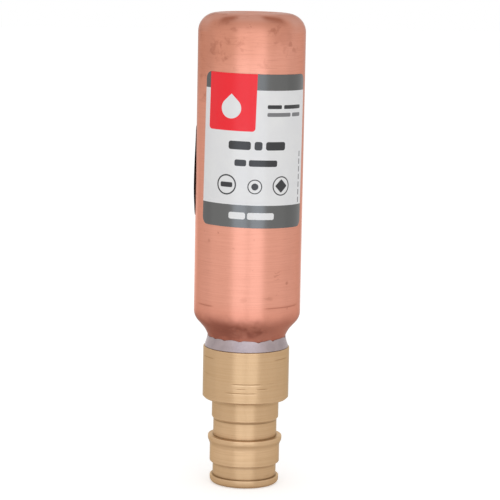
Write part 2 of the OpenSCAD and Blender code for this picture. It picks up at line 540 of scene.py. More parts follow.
class NodeBench:
    """A node tree under construction, with short calls for the nodes that the finishes share."""

    def __init__(self, owner: bpy.types.Material | bpy.types.World | bpy.types.NodeTree) -> None:
        """Starts an empty node tree.

        Args:
            owner: The material, world or node group that it belongs to.
        """
        self.owner = owner
        if isinstance(owner, bpy.types.NodeTree):
            self.tree = owner
        else:
            owner.use_nodes = True
            self.tree = owner.node_tree
        self.tree.nodes.clear()

    def put(self, kind: str, *inputs: object, **settings: object) -> bpy.types.Node:
        """Adds a node.

        Args:
            kind: The node's type.
            *inputs: What its first inputs get, in order.
            **settings: Properties to set on it.

        Returns:
            The new node.
        """
        node = self.tree.nodes.new(kind)
        for name, value in settings.items():
            setattr(node, name, value)
        for socket, value in zip(node.inputs, inputs):
            self.feed(socket, value)
        return node

    def put_fed(self, kind: str, inputs: dict[str, object], **settings: object) -> bpy.types.Node:
        """Adds a node and feeds its inputs by name.

        Args:
            kind: The node's type.
            inputs: What its inputs get.
            **settings: Properties to set on it.

        Returns:
            The new node.
        """
        node = self.put(kind, **settings)
        for name, value in inputs.items():
            self.feed(node.inputs[name], value)
        return node

    def feed(self, socket: Socket, value: object) -> None:
        """Links a socket to another, or sets its value.

        Args:
            socket: The input.
            value: What it gets.
        """
        if isinstance(value, bpy.types.NodeSocket):
            self.tree.links.new(value, socket)
        else:
            socket.default_value = value

    def math(self, operation: str, a: object, b: object, clamp: bool = False) -> Socket:
        """Gives the result of a Math node, kept from 0 to 1 where it is clamped."""
        return self.put("ShaderNodeMath", a, b, operation=operation, use_clamp=clamp).outputs[0]

    def vector(self, operation: str, *vectors: object) -> Socket:
        """Gives the result of a Vector Math node, which is a number for a length."""
        node = self.put("ShaderNodeVectorMath", *vectors, operation=operation)
        return node.outputs["Value" if operation == "LENGTH" else "Vector"]

    def between(self, value: object, ramp: Ramp) -> Socket:
        """Leads a value through a ramp.

        Args:
            value: The value.
            ramp: The ramp.

        Returns:
            What the ramp gives.
        """
        ends = {"From Min": ramp.low, "From Max": ramp.high, "To Min": ramp.first, "To Max": ramp.last}
        inputs = {"Value": value, **ends}
        node = self.put_fed("ShaderNodeMapRange", inputs, interpolation_type="SMOOTHSTEP")
        return node.outputs["Result"]

    def portion(self, mark: Socket, share: float) -> Socket:
        """Gives a share of a mark, or of its negative part where the share is negative."""
        return self.math("MULTIPLY", mark, share, clamp=True)

    def leant(self, value: Socket, x: Socket, lean: float) -> Socket:
        """Gives a value that grows with x by its lean."""
        return self.math("ADD", value, self.math("MULTIPLY", x, lean))

    def swayed(self, value: Socket, noise: Socket, reach: float) -> Socket:
        """Gives a value moved by noise, by half the reach to either side at most."""
        return self.math("ADD", value, self.math("MULTIPLY", self.math("SUBTRACT", noise, 0.5), reach))

    def mix(self, share: Socket, a: object, b: object, kind: Blend = Blend.COLOUR) -> Socket:
        """Mixes two colours or numbers.

        Args:
            share: How much of the second one shows.
            a: First colour or number.
            b: Second colour or number.
            kind: Which of the two they are.

        Returns:
            The mixed colour or number.
        """
        data_type, ending = kind.value
        node = self.put("ShaderNodeMix", data_type=data_type)
        fed = {"Factor_Float": share, f"A_{ending}": a, f"B_{ending}": b}
        for socket in node.inputs:
            if socket.identifier in fed:
                self.feed(socket, fed[socket.identifier])
        return next(socket for socket in node.outputs if socket.identifier == f"Result_{ending}")

    def over(self, colour: object, share: Socket, shade: Shade) -> Socket:
        """Lays a share of a shade over a colour."""
        return self.mix(share, colour, linear(shade))

    def two_tone(self, value: Socket, ramp: Ramp, first: Shade, last: Shade) -> Socket:
        """Leads from one shade to another by a ramp."""
        return self.over(linear(first), self.between(value, ramp), last)

    def place(self) -> Socket:
        """Gives the object coordinates in millimetres."""
        coordinates = self.put("ShaderNodeTexCoord").outputs["Object"]
        return self.vector("MULTIPLY", coordinates, (1.0 / MM, 1.0 / MM, 1.0 / MM))

    def parts(self, vector: Socket) -> tuple[Socket, Socket, Socket]:
        """Gives a vector's three parts."""
        node = self.put("ShaderNodeSeparateXYZ", vector)
        return node.outputs[0], node.outputs[1], node.outputs[2]

    def marked(self, mark: Mark) -> Socket:
        """Gives one of the piece's vertex attributes."""
        return self.put("ShaderNodeAttribute", attribute_name=mark.value).outputs["Fac"]

    def noise(self, vector: Socket, speckle: Speckle) -> Socket:
        """Gives a noise, about 0.5."""
        inputs = {"Scale": speckle.scale, "Detail": speckle.detail, "Roughness": speckle.rough}
        return self.put_fed("ShaderNodeTexNoise", {"Vector": vector, **inputs}).outputs["Fac"]

    def rings(self, rings: Rings) -> Socket:
        """Gives a noise of x, y and the length along the section, so that it lies in rings.

        Args:
            rings: How it lies.

        Returns:
            The noise, about 0.5.
        """
        x, y, _ = self.parts(self.place())
        along = self.marked(Mark.ALONG)
        scales = ((x, rings.around), (y, rings.around), (along, rings.across))
        scaled = (self.math("MULTIPLY", part, scale) for part, scale in scales)
        node = self.put("ShaderNodeCombineXYZ", *scaled)
        return self.noise(node.outputs[0], Speckle(detail=rings.detail, rough=rings.rough))

    def bent(self, place: Socket, scale: float, reach: float) -> Socket:
        """Gives coordinates pushed about by signed noise.

        Args:
            place: The coordinates.
            scale: Scale of the noise.
            reach: How far they are pushed at most.

        Returns:
            The new coordinates.
        """
        wander = self.put_fed("ShaderNodeTexNoise", {"Vector": place, "Scale": scale}, normalize=False)
        return self.vector("MULTIPLY_ADD", wander.outputs["Color"], (reach, reach, reach), place)

    def blob(self, place: Socket, middle: Triple, half: Triple, share: float) -> Socket:
        """Gives a soft ellipsoid.

        Args:
            place: Coordinates in millimetres.
            middle: Its middle.
            half: Its half sizes.
            share: Its value at the middle, which falls to 0 at the half sizes.

        Returns:
            The value.
        """
        size = np.array(half)
        shift = -np.array(middle) / size
        off = self.vector("MULTIPLY_ADD", place, (1.0 / size).tolist(), shift.tolist())
        return self.between(self.vector("LENGTH", off), Ramp(BLOB_CORE, 1.0, share, 0.0))

    def bump(self, height: Socket, depth: float, normal: Socket | None = None) -> Socket:
        """Turns a height into a bumped normal.

        Args:
            height: Height from 0 to 1.
            depth: Depth of the bump in millimetres.
            normal: Normal to start from.

        Returns:
            The normal.
        """
        node = self.put_fed("ShaderNodeBump", {"Height": height, "Distance": depth * MM})
        if normal is not None:
            self.feed(node.inputs["Normal"], normal)
        return node.outputs["Normal"]

    def close(self, shader: bpy.types.Node, output: str = "ShaderNodeOutputMaterial") -> None:
        """Links a shader to the tree's output."""
        self.put_fed(output, {"Surface": shader.outputs[0]})

    def shade(self, **sockets: object) -> bpy.types.Material:
        """Adds the Principled shader and closes the tree.

        Args:
            **sockets: Its inputs, with an underscore for a space.

        Returns:
            The finished material.
        """
        inputs = {name.replace("_", " "): value for name, value in sockets.items()}
        self.close(self.put_fed("ShaderNodeBsdfPrincipled", inputs))
        return self.owner

    def turned_metal(
        self, colour: Socket, rough: Socket, normal: Socket, glance: object
    ) -> bpy.types.Material:
        """Closes the tree with a metal whose highlights are stretched across the rings of its turning.

        Args:
            colour: Its colour.
            rough: Its roughness.
            normal: Its bumped normal.
            glance: Its tint at a glancing view.

        Returns:
            The finished material.
        """
        tangent = self.put("ShaderNodeTangent", direction_type="RADIAL", axis="Z").outputs[0]
        return self.shade(
            Base_Color=colour, Metallic=1.0, Roughness=rough, Normal=normal, Specular_Tint=glance,
            Tangent=tangent, Anisotropic=STRETCH, Anisotropic_Rotation=STRETCH_TURN,
        )


@dataclass(frozen=True)
class Blemish:
    """A small dark mark on the chamber's outside.

    Attributes:
        bearing: Its bearing from the front.
        z: Its height.
        wide: Half its width.
        high: Half its height.
        share: How much it darkens the copper.
    """

    bearing: float
    z: float
    wide: float
    high: float
    share: float

    def middle(self) -> Triple:
        """Gives its middle on the tube."""
        turned = np.radians(self.bearing)
        return (TUBE_R * np.sin(turned), -TUBE_R * np.cos(turned), self.z)

    def half(self) -> Triple:
        """Gives its half sizes."""
        return (self.wide, self.wide, self.high)


@dataclass(frozen=True)
class CopperFinish:
    """Bright copper, brushed round the axis, darker towards the crown, with painted reflections on the
    crown, and heat tinted at the neck.
    """

    pale: Shade = (216, 152, 131)
    deep: Shade = (208, 144, 123)
    tan: Shade = (197, 134, 111)
    # Painted pale reflection on the crown's rim and in arcs on the crown
    pale_reflection: Shade = (208, 164, 150)
    # Shade of stains, scratches and pits, and of the painted dark reflections on the crown
    smudge_and_dark_reflection: Shade = (166, 106, 86)
    tint: Shade = (144, 87, 72)
    flush: Shade = (164, 101, 83)
    warm: Shade = (203, 132, 110)
    grazing: Shade = (226, 206, 198)
    rough: Ramp = Ramp(0.3, 0.7, 0.36, 0.44)
    brushing: Rings = Rings(0.1, 4.2, 3.0, 0.6)
    brushing_depth: float = 0.002
    hairs: Rings = Rings(0.3, 9.0, 2.0)
    hair_depth: float = 0.0012
    tone: Ramp = Ramp(0.32, 0.68)
    tan_rise: Ramp = Ramp(88.0, 97.5)
    tan_lean: float = -0.6
    tan_cloud: Speckle = Speckle(0.14)
    tan_sway: float = 6.0
    crown_reflection: Ramp = Ramp(98.2, 99.7, 0.0, 0.45)
    dashes: Rings = Rings(0.24, 5.0, 5.0, 0.66)
    dash_cut: Ramp = Ramp(0.5, 0.74)
    dash_rise: Ramp = Ramp(80.0, 94.0, 0.2, 0.42)
    stains: Speckle = Speckle(0.34, 5.0, 0.66)
    stain_cut: Ramp = Ramp(0.52, 0.72)
    stain_rise: Ramp = Ramp(84.0, 94.0, 0.0, 0.7)
    pits: Speckle = Speckle(0.9, 2.0, 0.6)
    pit_cut: Ramp = Ramp(0.7, 0.78, 0.0, 0.6)
    score_share: float = 0.85
    # Shares of the painted dark and pale reflections on the crown
    dark_reflection_share: float = 0.95
    pale_reflection_share: float = 0.65
    warm_fall: Ramp = Ramp(37.4, 41.0, 0.45, 0.0)
    tint_fall: Ramp = Ramp(35.2, 38.4, 1.0, 0.0)
    tint_edge: Speckle = Speckle(0.17)
    tint_sway: float = 3.0
    tint_lean: float = -0.045
    blotches: Speckle = Speckle(0.4, 2.0)
    blotch_cut: Ramp = Ramp(0.42, 0.72, 0.66, 1.0)
    flush_fall: Ramp = Ramp(32.0, 32.9, 0.7, 0.0)
    flush_edge: Speckle = Speckle(0.6)
    flush_sway: float = 4.0
    blemish_scale: float = 0.9
    blemish_bend: float = 0.4
    blemishes: tuple[Blemish, ...] = (
        Blemish(-41.8, 94.0, 0.45, 1.1, 0.6),
        Blemish(-46.5, 94.2, 0.4, 0.8, 0.35),
        Blemish(-53.8, 93.6, 0.9, 0.8, 0.4),
        Blemish(-53.8, 92.1, 0.9, 0.5, 0.4),
        Blemish(-27.8, 97.1, 1.1, 0.7, 0.5),
        Blemish(-18.2, 93.1, 0.5, 0.5, 0.4),
        Blemish(13.9, 96.9, 1.2, 0.5, 0.45),
        Blemish(18.8, 94.5, 1.0, 0.5, 0.4),
        Blemish(28.0, 95.6, 3.2, 2.2, 0.32),
        Blemish(36.6, 94.2, 1.0, 0.7, 0.5),
        Blemish(42.9, 92.9, 1.0, 0.7, 0.4),
        Blemish(39.0, 44.4, 0.6, 0.6, 0.55),
        Blemish(15.3, 41.5, 1.3, 0.5, 0.35),
        Blemish(25.1, 46.9, 1.2, 0.22, 0.4),
        Blemish(25.6, 46.2, 1.2, 0.22, 0.4),
        Blemish(24.6, 45.4, 1.2, 0.22, 0.3),
        Blemish(-11.3, 41.2, 1.0, 0.6, 0.2),
        Blemish(-53.8, 53.0, 0.6, 0.6, 0.4),
        Blemish(150.0, 47.0, 1.3, 0.4, 0.4),
        Blemish(215.0, 92.5, 2.2, 1.2, 0.35),
        Blemish(128.0, 94.0, 1.6, 1.4, 0.35),
    )

    def worn(self, bench: NodeBench, place: Socket, level: Socket, colour: Socket) -> Socket:
        """Lays dark dashes and stains, which grow with the level, and pits over a colour.

        Args:
            bench: The material under construction.
            place: Object coordinates in millimetres.
            level: Height, leaning to one side and swayed.
            colour: Colour of the clean copper.

        Returns:
            The colour with all three.
        """
        dash = bench.between(bench.rings(self.dashes), self.dash_cut)
        stain = bench.between(bench.noise(place, self.stains), self.stain_cut)
        for spread, rise in ((dash, self.dash_rise), (stain, self.stain_rise)):
            share = bench.math("MULTIPLY", spread, bench.between(level, rise))
            colour = bench.over(colour, share, self.smudge_and_dark_reflection)
        pit = bench.between(bench.noise(place, self.pits), self.pit_cut)
        return bench.over(colour, pit, self.smudge_and_dark_reflection)

    def blemished(self, bench: NodeBench, place: Socket, colour: Socket) -> Socket:
        """Lays the small marks over a colour, with edges that noise pushes about.

        Args:
            bench: The material under construction.
            place: Object coordinates in millimetres.
            colour: Colour of the clean copper.

        Returns:
            The colour with the marks.
        """
        bent = bench.bent(place, self.blemish_scale, self.blemish_bend)
        darkest: object = 0.0
        for mark in self.blemishes:
            spot = bench.blob(bent, mark.middle(), mark.half(), mark.share)
            darkest = bench.math("MAXIMUM", spot, darkest)
        return bench.over(colour, darkest, self.smudge_and_dark_reflection)

    def heated(self, bench: NodeBench, place: Socket, colour: Socket) -> Socket:
        """Lays a warm tone, the heat tint and the flush next to the solder over a colour.

        All three fade with the height above the adapter, and noise shifts the last two.

        Args:
            bench: The material under construction.
            place: Object coordinates in millimetres.
            colour: Colour of the cool copper.

        Returns:
            The colour with all three.
        """
        x, _, height = bench.parts(place)
        colour = bench.over(colour, bench.between(height, self.warm_fall), self.warm)
        tint_z = bench.swayed(height, bench.noise(place, self.tint_edge), self.tint_sway)
        uneven = bench.leant(bench.noise(place, self.blotches), x, self.tint_lean)
        blotch = bench.between(uneven, self.blotch_cut)
        share = bench.math("MULTIPLY", bench.between(tint_z, self.tint_fall), blotch)
        colour = bench.over(colour, share, self.tint)
        flush_z = bench.swayed(height, bench.noise(place, self.flush_edge), self.flush_sway)
        return bench.over(colour, bench.between(flush_z, self.flush_fall), self.flush)

    def material(self) -> bpy.types.Material:
        """Builds the material.

        Rings of fine noise give the brushing, and the height, leaning to one side, darkens it towards
        the crown. Over them lie a painted pale reflection on the crown's rim, the wear, the marks that
        the chamber carries with its painted dark and pale reflections on the crown, the blemishes and
        the heat.

        Returns:
            The material.
        """
        bench = NodeBench(bpy.data.materials.new("brushed_copper"))
        place = bench.place()
        x, _, height = bench.parts(place)
        level = bench.leant(height, x, self.tan_lean)
        level = bench.swayed(level, bench.noise(place, self.tan_cloud), self.tan_sway)
        grain = bench.rings(self.brushing)
        colour = bench.two_tone(grain, self.tone, self.deep, self.pale)
        # Darker towards the crown, reaching lower on the left
        colour = bench.over(colour, bench.between(level, self.tan_rise), self.tan)
        # A painted pale reflection on the crown's rim
        colour = bench.over(colour, bench.between(height, self.crown_reflection), self.pale_reflection)
        colour = self.worn(bench, place, level, colour)
        # Painted dark and pale reflections on the crown, from the piece's mark
        smear = bench.marked(Mark.SMEAR)
        dark_reflection = bench.portion(smear, self.dark_reflection_share)
        scored = bench.portion(bench.marked(Mark.SCORE), self.score_share)
        colour = bench.over(colour, scored, self.smudge_and_dark_reflection)
        colour = bench.over(colour, bench.portion(smear, -self.pale_reflection_share), self.pale_reflection)
        colour = bench.over(colour, dark_reflection, self.smudge_and_dark_reflection)
        colour = self.heated(bench, place, self.blemished(bench, place, colour))
        hairy = bench.bump(bench.rings(self.hairs), self.hair_depth)
        normal = bench.bump(grain, self.brushing_depth, hairy)
        # The specular tint is darkened where dark reflections are painted
        glance = bench.over(linear(self.grazing), dark_reflection, self.smudge_and_dark_reflection)
        return bench.turned_metal(colour, bench.between(grain, self.rough), normal, glance)


@dataclass(frozen=True)
class BrassFinish:
    """Turned brass, with fine tool lines, some scratches, painted shade in its inner corners and painted
    highlights on its outer corners.
    """

    pale: Shade = (194, 162, 126)
    deep: Shade = (187, 154, 117)
    # Shades of the lighter patch about the insert's middle, on one side
    lighter_pale: Shade = (204, 171, 134)
    lighter_deep: Shade = (194, 160, 123)
    # Painted shade in the inner corners and under the ledges
    dull: Shade = (112, 82, 48)
    # Painted highlight on outer corners and on the raised edges below scratches
    painted_highlight: Shade = (218, 188, 152)
    scratch: Shade = (150, 115, 78)
    grazing: Shade = (222, 214, 200)
    lighter_middle: Triple = (-6.0, 0.0, 9.0)
    lighter_half: Triple = (20.0, 40.0, 6.5)
    rough: Ramp = Ramp(0.3, 0.7, 0.34, 0.42)
    lines: Rings = Rings(0.06, 4.5, 4.0, 0.6)
    line_depth: float = 0.003
    hairs: Rings = Rings(0.2, 10.0, 2.0)
    hair_depth: float = 0.0015
    tone: Ramp = Ramp(0.32, 0.68)
    clouds: Speckle = Speckle(0.22)
    cloud_cut: Ramp = Ramp(0.5, 0.75, 0.0, 0.3)
    scratches: Rings = Rings(0.16, 3.4, 1.0)
    scratch_cut: Ramp = Ramp(0.68, 0.76, 0.0, 0.3)
    # Shares of the scratch colour, of the painted highlights on raised edges and outer corners, and of
    # the painted shade in corners
    score_share: float = 0.9
    burr_highlight_share: float = 0.65
    edge_highlight_share: float = 0.3
    painted_shade_share: float = 0.75

    def material(self) -> bpy.types.Material:
        """Builds the material.

        Rings of noise give the tool lines, rare peaks of finer rings give the scratches, painted shade
        darkens the section's inner corners and painted highlights lighten its outer corners and the
        raised edges below some scratches. One side of the insert's middle is lighter than the rest.

        Returns:
            The material.
        """
        bench = NodeBench(bpy.data.materials.new("turned_brass"))
        place = bench.place()
        lines = bench.rings(self.lines)
        # Lighter about the insert's middle, on one side
        lighter_patch = bench.blob(place, self.lighter_middle, self.lighter_half, 1.0)
        deep = bench.over(linear(self.deep), lighter_patch, self.lighter_deep)
        pale = bench.over(linear(self.pale), lighter_patch, self.lighter_pale)
        colour = bench.mix(bench.between(lines, self.tone), deep, pale)
        colour = bench.mix(bench.between(bench.noise(place, self.clouds), self.cloud_cut), colour, deep)
        scratched = bench.between(bench.rings(self.scratches), self.scratch_cut)
        colour = bench.over(colour, scratched, self.scratch)
        # The scratch mark is its cut, less a painted highlight on the raised edge below it
        score = bench.marked(Mark.SCORE)
        layers = (
            (score, self.score_share, self.scratch),
            (score, -self.burr_highlight_share, self.painted_highlight),
            # Painted highlight on the outer corners
            (bench.marked(Mark.EDGE), self.edge_highlight_share, self.painted_highlight),
            (bench.marked(Mark.CREVICE), self.painted_shade_share, self.dull),
        )
        for mark, share, shade in layers:
            colour = bench.over(colour, bench.portion(mark, share), shade)
        hairy = bench.bump(bench.rings(self.hairs), self.hair_depth)
        normal = bench.bump(lines, self.line_depth, hairy)
        rough = bench.between(lines, self.rough)
        return bench.turned_metal(colour, rough, normal, linear(self.grazing))


@dataclass(frozen=True)
class SolderFinish:
    """Set solder: a dull mauve-grey metal with a slightly lumpy skin."""

    pale: Shade = (164, 150, 151)
    deep: Shade = (155, 142, 143)
    # Painted shade at the foot, where the solder meets the collar's rim
    dull: Shade = (116, 96, 86)
    clouds: Speckle = Speckle(0.45)
    cloud_depth: float = 0.005
    grain: Speckle = Speckle(3.0)
    grain_depth: float = 0.002
    tone: Ramp = Ramp(0.36, 0.64)
    rough: Ramp = Ramp(0.3, 0.7, 0.4, 0.51)
    painted_shade_share: float = 0.6

    def material(self) -> bpy.types.Material:
        """Builds the material: noise in two sizes, and a line of painted shade at its foot.

        Returns:
            The material.
        """
        bench = NodeBench(bpy.data.materials.new("set_solder"))
        place = bench.place()
        cloud = bench.noise(place, self.clouds)
        grain = bench.noise(place, self.grain)
        colour = bench.two_tone(cloud, self.tone, self.deep, self.pale)
        # Painted shade at the foot
        foot = bench.portion(bench.marked(Mark.CREVICE), self.painted_shade_share)
        colour = bench.over(colour, foot, self.dull)
        normal = bench.bump(cloud, self.cloud_depth, bench.bump(grain, self.grain_depth))
        rough = bench.between(grain, self.rough)
        return bench.shade(Base_Color=colour, Metallic=1.0, Roughness=rough, Normal=normal)


@dataclass(frozen=True)
class PlainFinish:
    """A finish of two shades in soft clouds, with a fine grain.

    Attributes:
        name: The material's name.
        first: Shade where the clouds' noise is low.
        last: Shade where it is high.
        clouds: Noise of the clouds.
        tone: How their noise leads from the first shade to the last.
        grain: Noise of the grain.
        rough: How the grain's noise sets the roughness.
        depth: Depth of the grain.
        gloss: The shader's specular level.
    """

    name: str
    first: Shade
    last: Shade
    clouds: Speckle
    tone: Ramp
    grain: Speckle
    rough: Ramp
    depth: float
    gloss: float = 0.5

    def material(self) -> bpy.types.Material:
        """Builds the material.

        Returns:
            The material.
        """
        bench = NodeBench(bpy.data.materials.new(self.name))
        place = bench.place()
        colour = bench.two_tone(bench.noise(place, self.clouds), self.tone, self.first, self.last)
        grain = bench.noise(place, self.grain)
        return bench.shade(
            Base_Color=colour, Roughness=bench.between(grain, self.rough),
            Specular_IOR_Level=self.gloss, Normal=bench.bump(grain, self.depth),
        )


# Plain dark film, with dusty clouds
DARK_FILM = PlainFinish(
    name="dark_film", first=(36, 22, 20), last=(54, 40, 37),
    clouds=Speckle(0.12, 6.0, 0.6), tone=Ramp(0.35, 0.75),
    grain=Speckle(2.4, 2.0), rough=Ramp(0.3, 0.7, 0.36, 0.5), depth=0.004, gloss=0.15,
)
# Natural white plastic of the piston, with faint flow clouds and a fine moulded skin
MOULDED_PLASTIC = PlainFinish(
    name="moulded_plastic", first=(198, 195, 184), last=(216, 214, 205),
    clouds=Speckle(0.2), tone=Ramp(0.35, 0.65),
    grain=Speckle(4.0, 2.0), rough=Ramp(0.3, 0.7, 0.35, 0.46), depth=0.003,
)
# Black rubber of the seals, greased, with a faint grey bloom
SEAL_RUBBER = PlainFinish(
    name="greased_rubber", first=(34, 34, 36), last=(58, 58, 60),
    clouds=Speckle(0.5), tone=Ramp(0.45, 0.75),
    grain=Speckle(5.0, 2.0), rough=Ramp(0.3, 0.7, 0.36, 0.56), depth=0.003,
)


@dataclass(frozen=True)
class Patch:
    """A printed shape on a label: a box with round corners, placed from the label's top left corner."""

    ink: Ink
    x: float
    y: float
    w: float
    h: float
    round: float = 0.0
    turn: float = 0.0


def patch_group() -> bpy.types.NodeTree:
    """Makes the node group that gives a patch's share of ink at a point.

    The point is moved to the patch's middle and turned. Its distance from the patch is the length of
    what its absolute place has beyond the half size less the round, less the round itself.

    Returns:
        The group, with the inputs Point, Middle, Half, Round and Turn.
    """
    group = bpy.data.node_groups.new("printed_patch", "ShaderNodeTree")
    kinds = {"Point": "Vector", "Middle": "Vector", "Half": "Vector", "Round": "Float", "Turn": "Float"}
    for name, kind in kinds.items():
        group.interface.new_socket(name, in_out="INPUT", socket_type=f"NodeSocket{kind}")
    group.interface.new_socket("Ink", in_out="OUTPUT", socket_type="NodeSocketFloat")
    bench = NodeBench(group)
    given = bench.put("NodeGroupInput").outputs
    moved = bench.vector("SUBTRACT", given["Point"], given["Middle"])
    turning = {"Vector": moved, "Angle": given["Turn"]}
    turned = bench.put_fed("ShaderNodeVectorRotate", turning, rotation_type="Z_AXIS").outputs[0]
    inner = bench.vector("SUBTRACT", given["Half"], given["Round"])
    beyond = bench.vector("SUBTRACT", bench.vector("ABSOLUTE", turned), inner)
    reach = bench.vector("LENGTH", bench.vector("MAXIMUM", beyond))
    apart = bench.math("SUBTRACT", reach, given["Round"])
    fading = {"Value": apart, "From Min": 0.0, "From Max": INK_EDGE, "To Min": 1.0, "To Max": 0.0}
    soft = bench.put_fed("ShaderNodeMapRange", fading)
    bench.put_fed("NodeGroupOutput", {"Ink": soft.outputs["Result"]})
    return group


@dataclass(frozen=True)
class PrintedFilm:
    """Glossy white film with plain printed fields and bars."""

    width: float
    height: float
    patches: tuple[Patch, ...]
    paper: Shade = (230, 230, 230)
    shadow: Shade = (227, 227, 228)
    clouds: Speckle = Speckle(0.25)
    tone: Ramp = Ramp(0.35, 0.65)
    rough: Ramp = Ramp(0.3, 0.7, 0.225, 0.255)
    grain: Speckle = Speckle(2.2, 2.0)
    depth: float = 0.001
    gloss: float = 0.42

    def material(self) -> bpy.types.Material:
        """Builds the material: each patch is printed over those before it, on the label's own map.

        Returns:
            The material.
        """
        bench = NodeBench(bpy.data.materials.new("printed_film"))
        place = bench.place()
        mapped = bench.put("ShaderNodeUVMap", uv_map=LABEL_MAP).outputs[0]
        point = bench.vector("MULTIPLY", mapped, (self.width, self.height, 0.0))
        cloud = bench.noise(place, self.clouds)
        colour = bench.two_tone(cloud, self.tone, self.shadow, self.paper)
        group = patch_group()
        metal: object = 0.0
        for patch in self.patches:
            inputs = {
                "Point": point,
                "Middle": (patch.x + patch.w / 2.0, self.height - patch.y - patch.h / 2.0, 0.0),
                "Half": (patch.w / 2.0, patch.h / 2.0, self.width),
                "Round": patch.round,
                "Turn": np.radians(patch.turn),
            }
            ink = bench.put_fed("ShaderNodeGroup", inputs, node_tree=group).outputs["Ink"]
            colour = bench.over(colour, ink, patch.ink.shade)
            metal = bench.mix(ink, metal, patch.ink.metal, Blend.NUMBER)
        normal = bench.bump(bench.noise(place, self.grain), self.depth)
        return bench.shade(
            Base_Color=colour, Metallic=metal, Roughness=bench.between(cloud, self.rough),
            Specular_IOR_Level=self.gloss, Normal=normal,
        )


# The part's sub-assemblies


@dataclass(frozen=True)
class ShadeBand:
    """A ring of painted shade on a turned piece, a Gaussian about a height."""

    z: float
    reach: float
    share: float

    def at(self, z: Values) -> Values:
        """Gives how much shade is painted at some heights."""
        return self.share * np.exp(-(((z - self.z) / self.reach) ** 2))


